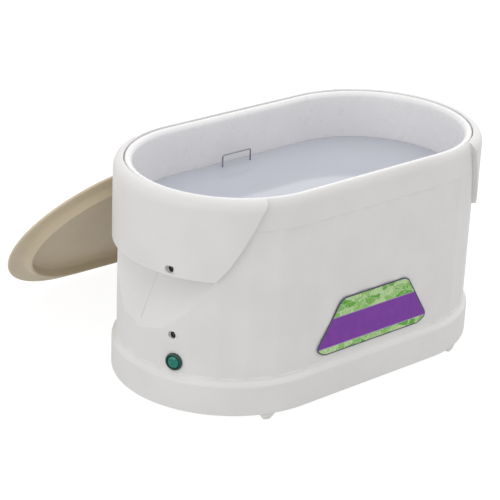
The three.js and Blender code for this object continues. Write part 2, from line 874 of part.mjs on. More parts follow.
// ---- Mains cord ----
const CORD_RADIUS = 3.4;
const cordOnTable = CORD_RADIUS - FOOT_HEIGHT + 0.1;
const COIL = { x: -13, y: 182, wide: 59, deep: 34, pitch: 9, turns: 2, perTurn: 8 };
const PLUG = { x: 119, y: 204, z: 3.2 };

function strainRelief() {
  const bore = CORD_RADIUS + 0.6;
  return turned(
    [
      [bore, -8],
      [6.2, -8],
      [6.2, 2],
      [9, 2.3],
      [9, 5],
      [6.4, 6],
      [4.9, 26],
      [bore, 26],
      [bore, -8],
    ],
    14,
  )
    .rotateX(-Math.PI / 2)
    .translate(CORD_EXIT.x, WALL_RADIUS + 2, CORD_EXIT.z);
}
place("strain_relief", strainRelief(), blackPlastic);

// The cord lies coiled on the table behind the bath, under the leaning lid.
function cordPath() {
  const inside = [
    [-76, 66, 16],
    [-20, 66, 16],
    [40, 74, 18],
    [CORD_EXIT.x - 2, 86, CORD_EXIT.z],
    ...[96, 106, 116, 126, 138].map((y) => [CORD_EXIT.x, y, CORD_EXIT.z]),
    [CORD_EXIT.x + 4, 150, CORD_EXIT.z - 5],
  ];
  const loops = [];
  for (let i = 0; i <= COIL.turns * COIL.perTurn; i++) {
    const turn = i / COIL.perTurn;
    const a = 2 * Math.PI * turn;
    const wide = COIL.wide - COIL.pitch * turn;
    const deep = COIL.deep - COIL.pitch * turn;
    loops.push([
      COIL.x + wide * Math.cos(a),
      COIL.y + deep * Math.sin(a),
      cordOnTable + turn * 0.4 + (i < 2 ? 9 - 4.5 * i : 0),
    ]);
  }
  const tail = [
    [36, 192, cordOnTable + 8],
    [62, 205, cordOnTable + 8.5],
    [92, 208, PLUG.z],
    [118, 204, PLUG.z],
  ];
  return [...inside, ...loops, ...tail];
}
place("power_cord", cord(cordPath(), CORD_RADIUS, 84, 6), blackPlastic);

// ---- Plug ----
// Its own +Z runs out along the pins.
function plugBody() {
  const row = (z, height, width) => {
    const [h, w] = [height / 2, width / 2];
    const cut = 0.3;
    return [
      [-h * (1 - cut), -w, z],
      [h * (1 - cut), -w, z],
      [h, -w * (1 - cut), z],
      [h, w * (1 - cut), z],
      [h * (1 - cut), w, z],
      [-h * (1 - cut), w, z],
      [-h, w * (1 - cut), z],
      [-h, -w * (1 - cut), z],
    ];
  };
  return stack([row(3, 9, 9), row(16, 13, 17), row(34, 20, 25), row(40, 20, 25)]);
}

function plugBlade() {
  return box([6.3, 1.5, 16], [0, 0, 48.2]);
}

function plugEarthPin() {
  return roundBar(2.4, [0, 0, 40.2], [0, 0, 61], 10);
}

const plug = new THREE.Group();
plug.position.set(PLUG.x, PLUG.y, PLUG.z);
plug.rotation.z = -0.15;
const plugAxis = new THREE.Group();
plugAxis.rotation.y = Math.PI / 2;
plug.add(plugAxis);
bath.add(plug);
place("plug_body", plugBody(), blackPlastic, plugAxis);
place("plug_blade_live", plugBlade(), steel, plugAxis).position.set(4, -6.3, 0);
place("plug_blade_neutral", plugBlade(), steel, plugAxis).position.set(4, 6.3, 0);
place("plug_earth_pin", plugEarthPin(), steel, plugAxis).position.set(-6, 0, 0);

// ---- Pilot lamp ----
const lamp = new THREE.Group();
lamp.position.set(...lampPoint(lampSeat + GAP));
lamp.rotation.z = lampTurn;
const lampAxis = new THREE.Group();
lampAxis.rotation.y = Math.PI / 2;
lamp.add(lampAxis);
bath.add(lamp);

const lampBore = LAMP.barrel - 0.9;
place(
  "pilot_lamp_bezel",
  turned(
    [
      [lampBore, -16],
      [LAMP.barrel, -16],
      [LAMP.barrel, 0],
      [LAMP.flange, 0],
      [LAMP.flange, 2.2],
      [LAMP.flange - 1, 3],
      [lampBore + 1.3, 3],
      [lampBore + 1.1, 1.5],
      [lampBore, 1.1],
      [lampBore, -16],
    ],
    20,
  ),
  finish(0x123f38, 0.3, 0),
  lampAxis,
);
place(
  "pilot_lamp_lens",
  turned(
    [
      [0, -1],
      [lampBore - 0.3, -1],
      [lampBore - 0.3, 1.4],
      [lampBore + 0.8, 1.9],
      [lampBore + 0.5, 2.6],
      [3.6, 3.2],
      [0, 3.6],
    ],
    20,
  ),
  finish(0x169a7e, 0.15, 0),
  lampAxis,
);
place(
  "pilot_lamp_bulb",
  turned(
    [
      [0, -20],
      [2.6, -20],
      [lampBore - 0.4, -14],
      [lampBore - 0.4, -4],
      [3, -1.6],
      [0, -1.4],
    ],
    14,
  ),
  finish(0xd9d2c0, 0.4, 0),
  lampAxis,
);
place("pilot_lamp_nut", hexNut(15, LAMP.barrel + GAP, 3.4), zinc, lampAxis).position.z = -6;

// ---- Front label ----
const LABEL_SHIFT = 2.8; // to the right of the wall's middle

function frontLabel() {
  const outline = new THREE.Shape();
  const corners = [
    [-63, 43, 11],
    [63, 43, 11],
    [73, 50, 12],
    [43, 98, 14],
    [-43, 98, 14],
    [-73, 50, 12],
  ];
  corners.forEach(([x, z, round], i) => {
    const [px, pz] = corners.at(i - 1);
    const [nx, nz] = corners[(i + 1) % corners.length];
    const toward = (qx, qz) => {
      const f = round / 2 / Math.hypot(qx - x, qz - z);
      return [x + (qx - x) * f, z + (qz - z) * f];
    };
    const from = toward(px, pz);
    if (i === 0) outline.moveTo(...from);
    else outline.lineTo(...from);
    outline.quadraticCurveTo(x, z, ...toward(nx, nz));
  });
  const sheet = new THREE.ExtrudeGeometry(outline, {
    depth: 0.6,
    bevelEnabled: false,
    curveSegments: 4,
  });
  return sheet.rotateX(Math.PI / 2).translate(LABEL_SHIFT, -(WALL_RADIUS + GAP), 0);
}
place("front_label", frontLabel(), finish(0x7d4a9a, 0.4, 0));

// ---- Lid ----
function lidShape() {
  return ovalStack(plainOval, [
    [86, 2.6],
    [91.2, 0.6],
    [92.6, -7],
    [94, -8.4],
    [95.4, -8],
    [97.6, -4.6],
    [100.5, -0.8],
    [104, 0],
    [LID_RADIUS - 1, 0],
    [LID_RADIUS, 1],
    [LID_RADIUS, 2.2],
    [LID_RADIUS - 1, 3],
    [102, 3.2],
    [97.5, 5.6],
    [93, 6.4],
    [84, 6.8],
  ]);
}

const lid = place("lid", lidShape(), tan);
lid.position.set(...LID_CENTRE);
lid.rotation.x = THREE.MathUtils.degToRad(-LID_TILT);
lid.rotation.z = THREE.MathUtils.degToRad(LID_SPIN);

export default bath;
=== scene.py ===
"""An oval paraffin wax bath with its lid leaning on its back wall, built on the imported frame.

Shapes are worked out in millimetres and stored in metres. X runs along the bath, the label
faces -Y, the pilot lamp is at the -X end and the table is 7 mm below the base pan.
"""
import math

import bpy
import numpy as np
from mathutils import Matrix, Vector


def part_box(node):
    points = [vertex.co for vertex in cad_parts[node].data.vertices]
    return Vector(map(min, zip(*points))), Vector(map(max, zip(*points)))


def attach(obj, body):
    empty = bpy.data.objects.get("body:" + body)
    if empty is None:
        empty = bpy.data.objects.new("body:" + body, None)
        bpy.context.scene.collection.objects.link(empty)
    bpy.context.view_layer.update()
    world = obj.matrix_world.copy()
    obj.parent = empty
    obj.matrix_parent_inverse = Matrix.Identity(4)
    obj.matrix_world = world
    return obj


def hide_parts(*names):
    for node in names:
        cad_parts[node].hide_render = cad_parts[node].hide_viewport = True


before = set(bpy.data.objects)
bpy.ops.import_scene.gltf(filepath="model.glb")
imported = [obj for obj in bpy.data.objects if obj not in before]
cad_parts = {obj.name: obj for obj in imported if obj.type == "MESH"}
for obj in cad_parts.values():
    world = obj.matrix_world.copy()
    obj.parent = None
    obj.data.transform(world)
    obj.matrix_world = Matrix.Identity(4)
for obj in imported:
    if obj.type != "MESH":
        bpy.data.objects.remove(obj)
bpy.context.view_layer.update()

MM = 0.001

# ---- Driving dimensions, in millimetres ----
HALF_STRAIGHT = 86.4
SKIRT_RADIUS = 113.0
WALL_RADIUS = 109.0
HOOD_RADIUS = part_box("outer_housing")[1].x / MM - HALF_STRAIGHT
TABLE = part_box("foot_front_left")[0].z / MM
SHELL = 3.5
SEAM_RADIUS = 103.6
LEDGE_RADIUS = 99.5
LEDGE_TOP = 206.0

SKIRT_TOP = 30.0
SHOULDER_TOP = 34.2
FLUTE_TOP = 184.0
FLUTE_DEPTH = 0.95
FLUTES_PER_END = 12
FLUTES_PER_SIDE = 6
SIDE_PITCH = 28.35
SIDE_SHIFT = 3.5

HOOD_BOTTOM = 134.5
HOOD_ANGLES = [42.6, 44.4, 50.0, 55.5, 60.6, 66.0]
HOOD_LEVELS = [134.5, 137.0, 151.0, 169.0, 188.0, 211.0]
RECESS_FACE = 79.2
RECESS_SLOPE = 0.452
MOULD_LINE_LENGTH = 58.0
MOULD_LINE_DEPTH = 0.3
MOULD_LINE_SIDES = (1.3, 1.75)

TANK_FLOOR = 78.0
TANK_SHORT = 22.0
STEP_TOP = 162.0
STEP_FOOT = 138.0
WAX_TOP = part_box("paraffin_wax")[1].z / MM
GRILLE_WIRE = 0.8
GRILLE_RADIUS = 83.2
CROSS_WIRE_PITCH = 42
LONG_WIRE_PLACES = (-54, -18, 18, 54)
HANDLE_SPAN = (-30.0, 6.0)
HANDLE_Y = 84.0
HANDLE_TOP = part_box("grille_handle_back")[1].z / MM

POCKET_Y = -39.6
POCKET_RADIUS = 3.6
POCKET_BACK = 0.5
POCKET_FRONT = 5.4
UPPER_POCKET = (-190.0, 141.0)
LOWER_POCKET = (-185.9, 73.3)
BOSS_RADIUS = 5.5
BOSS_STARTS = (-190.4, -185.4)
BOSS_END = -179.1
CORD_EXIT = (60.0, 19.0, 6.5)
CORD_RADIUS = 3.4
COIL_CENTRE = (-13.0, 182.0)
COIL_WIDE = 59.0
COIL_DEEP = 34.0
COIL_PITCH = 9.0
PLUG = (119.0, 204.0, 3.2)

FOOT_X = 121.5
FOOT_RADIAL = 107.0

LAMP_Y = -42.8
LAMP_Z = 47.0
LAMP_FLANGE = 8.5
LAMP_BARREL = 6.2
LAMP_SEAT = WALL_RADIUS - 1.1
SCREW_HEAD = 3.2

LABEL_SHIFT = 2.8
LABEL_BACK = WALL_RADIUS + 0.3
LABEL_THICK = 0.6
LABEL_TOP_RULE = 79.3
LABEL_LOW_RULE = 50.5

LID_RADIUS = 116.6
LID_TILT = 49.9
LID_SPIN = 1.8
LID_CENTRE = (-5.3, 186.9, 84.1)


# ---- Mesh helpers ----
def grid_faces(rows, cols, wrap_rows=False, wrap_cols=True):
    i = np.arange(rows if wrap_rows else rows - 1)[:, None]
    j = np.arange(cols if wrap_cols else cols - 1)[None, :]
    up, along = (i + 1) % rows, (j + 1) % cols
    corners = [i * cols + j, i * cols + along, up * cols + along, up * cols + j]
    return np.stack(np.broadcast_arrays(*corners), -1).reshape(-1, 4).tolist()


def stacked(rings):
    """A closed skin over rings listed from the bottom up, each counter-clockwise from above."""
    rings = np.asarray(rings, float)
    rows, cols = rings.shape[:2]
    faces = grid_faces(rows, cols)
    faces.append(list(range(cols))[::-1])
    faces.append(list(range((rows - 1) * cols, rows * cols)))
    return rings.reshape(-1, 3), faces


def looped(rings):
    """A closed skin over rings that run up the outside and come back down the inside."""
    rings = np.asarray(rings, float)
    return rings.reshape(-1, 3), grid_faces(*rings.shape[:2], wrap_rows=True)


def merged(*shapes):
    points, faces, start = [], [], 0
    for some_points, some_faces in shapes:
        points.append(np.asarray(some_points, float))
        faces += [[v + start for v in face] for face in some_faces]
        start += len(some_points)
    return np.concatenate(points), faces


def moved(shape, matrix):
    """The shape under a 4x4 matrix whose translation is in millimetres."""
    points, faces = shape
    m = np.array(matrix, float)
    return np.asarray(points) @ m[:3, :3].T + m[:3, 3], faces


def piece(name, shape, material, body, stands_for=(), sharp=32):
    points, faces = shape
    mesh = bpy.data.meshes.new(name)
    mesh.from_pydata((np.asarray(points) * MM).tolist(), [], faces)
    mesh.validate()
    mesh.update()
    made = bpy.data.objects.new(name, mesh)
    bpy.context.scene.collection.objects.link(made)
    made.data.materials.append(material)
    smooth(made, sharp)
    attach(made, body)
    if stands_for:
        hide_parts(*stands_for)
    return made


def smooth(made, sharp):
    made.data.shade_smooth()
    made.data.set_sharp_from_angle(angle=math.radians(sharp))


def carved(made, removed, added=(), sharp=32):
    """Joins closed shapes to a piece, then takes others out of it."""
    helpers = []
    steps = [("UNION", shape) for shape in added] + [("DIFFERENCE", shape) for shape in removed]
    for operation, (points, faces) in steps:
        mesh = bpy.data.meshes.new("helper")
        mesh.from_pydata((np.asarray(points) * MM).tolist(), [], faces)
        mesh.update()
        helper = bpy.data.objects.new("helper", mesh)
        bpy.context.scene.collection.objects.link(helper)
        modifier = made.modifiers.new("carve", "BOOLEAN")
        modifier.operation = operation
        modifier.solver = "MANIFOLD"
        modifier.object = helper
        helpers.append(helper)
    bpy.context.view_layer.update()
    done = made.evaluated_get(bpy.context.evaluated_depsgraph_get())
    mesh = bpy.data.meshes.new_from_object(done)
    made.modifiers.clear()
    made.data = mesh
    for helper in helpers:
        bpy.data.objects.remove(helper)
    smooth(made, sharp)
    return made


# ---- Ovals ----
def oval_track(per_end, per_side):
    """Centre-line x and outward direction of each column, counter-clockwise from above."""
    turn = np.radians(np.linspace(-90, 90, per_end, endpoint=False))
    run = np.linspace(1, -1, per_side, endpoint=False) * HALF_STRAIGHT
    flat = np.zeros(per_side)
    x = np.concatenate([np.full(per_end, HALF_STRAIGHT), run, np.full(per_end, -HALF_STRAIGHT), -run])
    nx = np.concatenate([np.cos(turn), flat, -np.cos(turn), flat])
    ny = np.concatenate([np.sin(turn), flat + 1, -np.sin(turn), flat - 1])
    return x, nx, ny


def oval_rings(profile, per_end=64, per_side=24):
    """Rings of an oval. A third number in a row shortens its straight run at each end."""
    x, nx, ny = oval_track(per_end, per_side)
    rings = []
    for radius, z, *short in profile:
        shift = (short[0] if short else 0) * x / HALF_STRAIGHT
        rings.append(np.stack([x - shift + radius * nx, radius * ny, np.full(len(x), z)], -1))
    return np.array(rings)


def rounded(profile, radii, steps=5, closed=False):
    """The profile with its corners rounded: one radius for each point, 0 for a sharp one."""
    out = []
    count = len(profile)
    for k, (point, radius) in enumerate(zip(profile, radii)):
        p = np.array(point, float)
        if radius == 0 or (not closed and k in (0, count - 1)):
            out.append(tuple(p))
            continue
        a = np.array(profile[k - 1], float) - p
        b = np.array(profile[(k + 1) % count], float) - p
        reach = min(radius, 0.48 * np.linalg.norm(a), 0.48 * np.linalg.norm(b))
        start, end = p + a / np.linalg.norm(a) * reach, p + b / np.linalg.norm(b) * reach
        for t in np.linspace(0, 1, steps):
            out.append(tuple((1 - t) ** 2 * start + 2 * t * (1 - t) * p + t**2 * end))
    return out


# ---- Turned and swept shapes ----
def turned(profile, sides=32):
    """Turned about +Z. The profile runs from axis to axis, or back to its own start."""
    ring = 2 * math.pi * np.arange(sides) / sides
    closed = np.allclose(profile[0], profile[-1])
    rows = profile[:-1] if closed else profile[1:-1]
    rings = [np.stack([r * np.cos(ring), r * np.sin(ring), np.full(sides, z)], -1) for r, z in rows]
    points = np.concatenate(rings)
    faces = grid_faces(len(rows), sides, wrap_rows=closed)
    if not closed:
        top = len(points)
        points = np.concatenate([points, [[0, 0, profile[0][1]], [0, 0, profile[-1][1]]]])
        last = (len(rows) - 1) * sides
        for j in range(sides):
            k = (j + 1) % sides
            faces.append([k, j, top])
            faces.append([last + j, last + k, top + 1])
    return points, faces


def tube(path, radius, sides=12, closed=False):
    """A round bar along a path. An open one has a small chamfer at each end."""
    path = np.asarray(path, float)
    ahead = np.roll(path, -1, 0) - path
    along = ahead + np.roll(ahead, 1, 0)
    if not closed:
        along[0], along[-1] = path[1] - path[0], path[-1] - path[-2]
    along /= np.linalg.norm(along, axis=1)[:, None]
    side = np.cross(along[0], [0.0, 0.0, 1.0])
    if np.linalg.norm(side) < 0.1:
        side = np.cross(along[0], [1.0, 0.0, 0.0])
    rings = []
    turn = 2 * math.pi * np.arange(sides) / sides
    for k, (centre, d) in enumerate(zip(path, along)):
        side = side - d * (side @ d)
        side /= np.linalg.norm(side)
        other = np.cross(d, side)
        ends = [] if closed else [0, len(path) - 1]
        round_bar = np.cos(turn)[:, None] * side + np.sin(turn)[:, None] * other
        if k in ends:
            inward = d if k == 0 else -d
            small = centre + round_bar * radius * 0.7
            full = centre + inward * 0.3 * radius + round_bar * radius
            chamfer = [small, full]
            rings += chamfer if k == 0 else chamfer[::-1]
        else:
            rings.append(centre + round_bar * radius)
    return looped(rings) if closed else stacked(rings)


def bar(radius, start, end, sides=24):
    return tube([start, np.add(start, end) / 2, end], radius, sides)


def plain_bar(radius, start, end, sides=40):
    """A round bar with square ends, for cutting."""
    start, end = np.array(start, float), np.array(end, float)
    d = (end - start) / np.linalg.norm(end - start)
    side = np.cross(d, [0.0, 0.0, 1.0] if abs(d[2]) < 0.9 else [1.0, 0.0, 0.0])
    side /= np.linalg.norm(side)
    other = np.cross(side, d)
    turn = 2 * math.pi * np.arange(sides) / sides
    ring = radius * (np.cos(turn)[:, None] * side - np.sin(turn)[:, None] * other)
    return stacked([start + ring, end + ring])


def flowing(points, count):
    """Evenly spaced points of a centripetal Catmull-Rom curve through the given points."""
    p = np.asarray(points, float)
    p = np.concatenate([[2 * p[0] - p[1]], p, [2 * p[-1] - p[-2]]])
    dense = []
    for a, b, c, d in zip(p, p[1:], p[2:], p[3:]):
        t1 = np.linalg.norm(b - a) ** 0.5
        t2 = t1 + np.linalg.norm(c - b) ** 0.5
        t3 = t2 + np.linalg.norm(d - c) ** 0.5
        for t in np.linspace(t1, t2, 24, endpoint=False):
            a1 = (t1 - t) / t1 * a + t / t1 * b
            a2 = (t2 - t) / (t2 - t1) * b + (t - t1) / (t2 - t1) * c
            a3 = (t3 - t) / (t3 - t2) * c + (t - t2) / (t3 - t2) * d
            b1 = (t2 - t) / t2 * a1 + t / t2 * a2
            b2 = (t3 - t) / (t3 - t1) * a2 + (t - t1) / (t3 - t1) * a3
            dense.append((t2 - t) / (t2 - t1) * b1 + (t - t1) / (t2 - t1) * b2)
    dense.append(p[-2])
    dense = np.array(dense)
    run = np.concatenate([[0], np.cumsum(np.linalg.norm(np.diff(dense, axis=0), axis=1))])
    even = np.linspace(0, run[-1], count)
    return np.stack([np.interp(even, run, dense[:, k]) for k in range(3)], -1)


# ---- Materials ----
class Finish:
    """A Principled material fed with object coordinates in millimetres."""

    def __init__(self, name, color, roughness, **inputs):
        self.material = bpy.data.materials.new(name)
        self.material.use_nodes = True
        self.material.diffuse_color = (*color, 1)
        self.tree = self.material.node_tree
        self.surface = self.tree.nodes["Principled BSDF"]
        self.surface.inputs["Base Color"].default_value = (*color, 1)
        self.surface.inputs["Roughness"].default_value = roughness
        for key, value in inputs.items():
            self.surface.inputs[key.replace("_", " ")].default_value = value
        scale = self.node("ShaderNodeVectorMath", operation="SCALE")
        self.link(self.node("ShaderNodeTexCoord").outputs["Object"], scale.inputs[0])
        scale.inputs["Scale"].default_value = 1 / MM
        self.place = scale.outputs["Vector"]

    def node(self, kind, **settings):
        made = self.tree.nodes.new(kind)
        for key, value in settings.items():
            setattr(made, key, value)
        return made

    def link(self, value, socket):
        if isinstance(value, bpy.types.NodeSocket):
            self.tree.links.new(value, socket)
        elif isinstance(value, tuple) and len(value) == 3 and socket.type == "RGBA":
            socket.default_value = (*value, 1)
        else:
            socket.default_value = value

    def stretched(self, scale=(1, 1, 1), turn=(0, 0, 0)):
        made = self.node("ShaderNodeMapping")
        self.link(self.place, made.inputs["Vector"])
        made.inputs["Scale"].default_value = scale
        made.inputs["Rotation"].default_value = [math.radians(a) for a in turn]
        return made.outputs["Vector"]

    def noise(self, size, detail=2.0, place=None):
        made = self.node("ShaderNodeTexNoise")
        self.link(place or self.place, made.inputs["Vector"])
        made.inputs["Scale"].default_value = 1 / size
        made.inputs["Detail"].default_value = detail
        return made.outputs["Fac"]

    def cells(self, size, feature="F1", output="Distance", place=None):
        made = self.node("ShaderNodeTexVoronoi", feature=feature)
        self.link(place or self.place, made.inputs["Vector"])
        made.inputs["Scale"].default_value = 1 / size
        return made.outputs[output]

    def math(self, operation, a, b=0.0):
        made = self.node("ShaderNodeMath", operation=operation)
        self.link(a, made.inputs[0])
        self.link(b, made.inputs[1])
        return made.outputs[0]

    def span(self, value, low, high, to_low=0.0, to_high=1.0):
        made = self.node("ShaderNodeMapRange", interpolation_type="SMOOTHSTEP")
        self.link(value, made.inputs["Value"])
        for key, number in (("From Min", low), ("From Max", high), ("To Min", to_low), ("To Max", to_high)):
            made.inputs[key].default_value = number
        return made.outputs["Result"]

    def mix(self, share, a, b, blend="MIX"):
        made = self.node("ShaderNodeMix", data_type="RGBA", blend_type=blend)
        self.link(share, made.inputs[0])
        self.link(a, made.inputs[6])
        self.link(b, made.inputs[7])
        return made.outputs[2]

    def axis(self, name):
        made = self.node("ShaderNodeSeparateXYZ")
        self.link(self.place, made.inputs[0])
        return made.outputs[name]

    def attribute(self, name):
        return self.node("ShaderNodeAttribute", attribute_name=name).outputs["Fac"]

    def color(self, value):
        self.link(value, self.surface.inputs["Base Color"])

    def roughness(self, value):
        self.link(value, self.surface.inputs["Roughness"])

    def bump(self, height, depth):
        """Depth is how tall the height's full range is, in millimetres."""
        made = self.node("ShaderNodeBump")
        made.inputs["Strength"].default_value = 1.0
        made.inputs["Distance"].default_value = depth * MM
        self.link(height, made.inputs["Height"])
        earlier = self.surface.inputs["Normal"].links
        if earlier:
            self.link(earlier[0].from_socket, made.inputs["Normal"])
        self.link(made.outputs["Normal"], self.surface.inputs["Normal"])


def tone(color, factor):
    return tuple(c * factor for c in color)


def moulded(name, color, roughness, grain=0.02, sink=0.12, scuff=0.0, **inputs):
    """Moulded plastic: cloudy tone, a fine mould grain, faint sink waves and scuffs."""
    made = Finish(name, color, roughness, **inputs)
    cloud = made.span(made.noise(45, 3), 0.3, 0.7)
    base = made.mix(cloud, tone(color, 0.975), tone(color, 1.015))
    fleck = made.span(made.noise(1.6, 2), 0.62, 0.75)
    base = made.mix(made.math("MULTIPLY", fleck, 0.12), base, tone(color, 0.9))
    rough = made.span(made.noise(18, 3), 0.3, 0.7, roughness - 0.04, roughness + 0.05)
    if scuff:
        streaks = made.noise(5, 4, made.stretched((0.25, 0.25, 3)))
        worn = made.math("MULTIPLY", made.span(streaks, 0.6, 0.72), scuff)
        base = made.mix(worn, base, tone(color, 0.86))
        rough = made.math("ADD", rough, made.math("MULTIPLY", worn, 0.25))
    made.color(base)
    made.roughness(rough)
    made.bump(made.noise(60, 1), sink)
    made.bump(made.noise(0.9, 2), grain)
    return made.material


def drawn_wire(name, color, roughness):
    """Plated wire: bright, with fine draw lines and dull spots."""
    made = Finish(name, color, roughness, Metallic=1.0)
    spots = made.span(made.noise(2.2, 3), 0.5, 0.75)
    made.color(made.mix(spots, color, tone(color, 0.7)))
    made.roughness(made.span(made.noise(4, 2), 0.3, 0.7, roughness, roughness + 0.18))
    made.bump(made.noise(0.5, 1, made.stretched((1, 1, 0.15))), 0.01)
    return made.material


def zinc_plate(name, color):
    """Zinc plating: patchy crystals with a slight rainbow dullness."""
    made = Finish(name, color, 0.42, Metallic=1.0)
    grains = made.cells(1.8, "F1", "Color")
    patch = made.span(made.noise(7, 3), 0.35, 0.7)
    base = made.mix(patch, tone(color, 0.8), (color[0] * 1.05, color[1] * 1.02, color[2] * 0.9))
    made.color(made.mix(0.12, base, grains, "OVERLAY"))
    made.roughness(made.span(made.noise(3, 2), 0.3, 0.7, 0.34, 0.55))
    made.bump(made.noise(0.6, 2), 0.015)
    return made.material


def rubbery(name, color, roughness=0.8):
    made = Finish(name, color, roughness)
    dust = made.span(made.noise(3, 4), 0.45, 0.7)
    made.color(made.mix(made.math("MULTIPLY", dust, 0.3), color, tone(color, 1.25)))
    made.roughness(made.span(made.noise(5, 2), 0.3, 0.7, roughness - 0.08, roughness + 0.1))
    made.bump(made.noise(0.5, 2), 0.04)
    return made.material


def woven_glass(name, color):
    """Glass-fibre blanket: matted strands."""
    made = Finish(name, color, 0.95, Sheen_Weight=0.3)
    strands = made.noise(1.2, 3, made.stretched((0.3, 0.3, 2)))
    clumps = made.noise(9, 4)
    made.color(made.mix(made.span(strands, 0.35, 0.65), tone(color, 0.72), tone(color, 1.08)))
    made.bump(clumps, 0.8)
    made.bump(strands, 0.25)
    return made.material


def tank_coat(name, color):
    """Smooth white coating on drawn metal: a slight orange peel."""
    made = Finish(name, color, 0.3, Coat_Weight=0.15, Coat_Roughness=0.2)
    cloud = made.span(made.noise(50, 2), 0.3, 0.7)
    made.color(made.mix(cloud, tone(color, 0.985), tone(color, 1.01)))
    made.roughness(made.span(made.noise(14, 3), 0.3, 0.7, 0.26, 0.36))
    made.bump(made.noise(16, 1), 0.015)
    made.bump(made.noise(1.2, 1), 0.003)
    return made.material


def melted_wax(name, color):
    """Still liquid: a mirror-like top over a milky body, with slow swirls in its tone."""
    made = Finish(name, color, 0.06, IOR=1.44, Subsurface_Weight=0.08, Subsurface_Scale=0.004)
    made.surface.inputs["Subsurface Radius"].default_value = (1.0, 1.0, 1.1)
    swirl = made.noise(55, 3, made.stretched((0.6, 1, 1), (0, 0, 20)))
    shift = made.span(swirl, 0.35, 0.65)
    made.color(made.mix(shift, tone(color, 0.985), (color[0] * 1.0, color[1] * 1.012, color[2] * 1.01)))
    made.bump(made.noise(70, 1), 0.05)
    return made.material


def lens_plastic(name, color):
    made = Finish(name, color, 0.08, IOR=1.42, Coat_Weight=0.1, Coat_Roughness=0.03)
    depth = made.noise(2.5, 2)
    made.color(made.mix(made.span(depth, 0.3, 0.7), tone(color, 0.75), tone(color, 1.4)))
    made.roughness(made.span(made.noise(1.5, 2), 0.3, 0.7, 0.05, 0.14))
    made.bump(made.noise(0.8, 1), 0.02)
    return made.material


def printed_film(name):
    """The label: a purple field between two bands of generic leaves, inside a dark edge line."""
    purple = (0.195, 0.036, 0.34)
    made = Finish(name, purple, 0.45, Specular_IOR_Level=0.3)
    height = made.axis("Z")
    drift = made.node("ShaderNodeVectorMath", operation="ADD")
    made.link(made.stretched((0.55, 1, 1.2), (0, 28, 0)), drift.inputs[0])
    wobble = made.node("ShaderNodeTexNoise")
    made.link(made.place, wobble.inputs["Vector"])
    wobble.inputs["Scale"].default_value = 0.12
    swing = made.node("ShaderNodeVectorMath", operation="SCALE")
    made.link(wobble.outputs["Color"], swing.inputs[0])
    swing.inputs["Scale"].default_value = 7.0
    made.link(swing.outputs["Vector"], drift.inputs[1])
    leaf = made.cells(7.5, "F1", "Color", drift.outputs["Vector"])
    pick = made.node("ShaderNodeSeparateColor")
    made.link(leaf, pick.inputs[0])
    vein = made.cells(7.5, "DISTANCE_TO_EDGE", "Distance", drift.outputs["Vector"])
    green = made.mix(made.span(pick.outputs[0], 0.25, 0.75), (0.10, 0.36, 0.03), (0.27, 0.53, 0.13))
    green = made.mix(made.span(pick.outputs[1], 0.6, 0.9), green, (0.52, 0.70, 0.36))
    green = made.mix(made.span(vein, 0.0, 0.09, 0.75, 0.0), green, (0.60, 0.76, 0.45))
    rib = made.noise(1.6, 2, made.stretched((2.6, 1, 0.4), (0, 35, 0)))
    green = made.mix(made.span(rib, 0.45, 0.7, 0.0, 0.6), green, (0.10, 0.36, 0.03))
    green = made.mix(made.span(rib, 0.45, 0.3, 0.0, 0.6), green, (0.52, 0.70, 0.36))
    ink = made.mix(made.span(made.noise(9, 2), 0.3, 0.7), tone(purple, 0.95), tone(purple, 1.08))
    top_band = made.span(height, LABEL_TOP_RULE + 0.1, LABEL_TOP_RULE + 0.5)
    low_band = made.span(height, LABEL_LOW_RULE - 0.1, LABEL_LOW_RULE - 0.5)
    band = made.math("MAXIMUM", top_band, low_band)
    base = made.mix(band, ink, green)
    to_top = made.math("ABSOLUTE", made.math("SUBTRACT", height, LABEL_TOP_RULE))
    to_low = made.math("ABSOLUTE", made.math("SUBTRACT", height, LABEL_LOW_RULE))
    rule = made.span(made.math("MINIMUM", to_top, to_low), 0.55, 0.25)
    base = made.mix(made.math("MULTIPLY", rule, 0.7), base, (0.42, 0.40, 0.50))
    edge = made.span(made.attribute("edge_distance"), 1.5, 1.1)
    base = made.mix(edge, base, (0.085, 0.07, 0.135))
    made.color(base)
    made.roughness(made.span(made.noise(6, 2), 0.3, 0.7, 0.3, 0.42))
    made.bump(made.noise(3, 2), 0.015)
    return made.material


WHITE = (0.745, 0.735, 0.724)
white_plastic = moulded("white_plastic", WHITE, 0.4, scuff=0.12)
white_inside = moulded("white_pan", tone(WHITE, 0.95), 0.5)
# The tank is the same white as the housing; its lighter colour is painted light that brightens the shaded
# inside of the tank.
tank_white_painted_light = tank_coat("tank_white_painted_light", (0.83, 0.82, 0.825))
wax_finish = melted_wax("melted_wax", (0.50, 0.515, 0.575))
tan_plastic = moulded("tan_plastic", (0.60, 0.505, 0.355), 0.4, grain=0.015)
bright_wire = drawn_wire("bright_wire", (0.26, 0.27, 0.29), 0.22)
zinc = zinc_plate("zinc", (0.52, 0.53, 0.53))
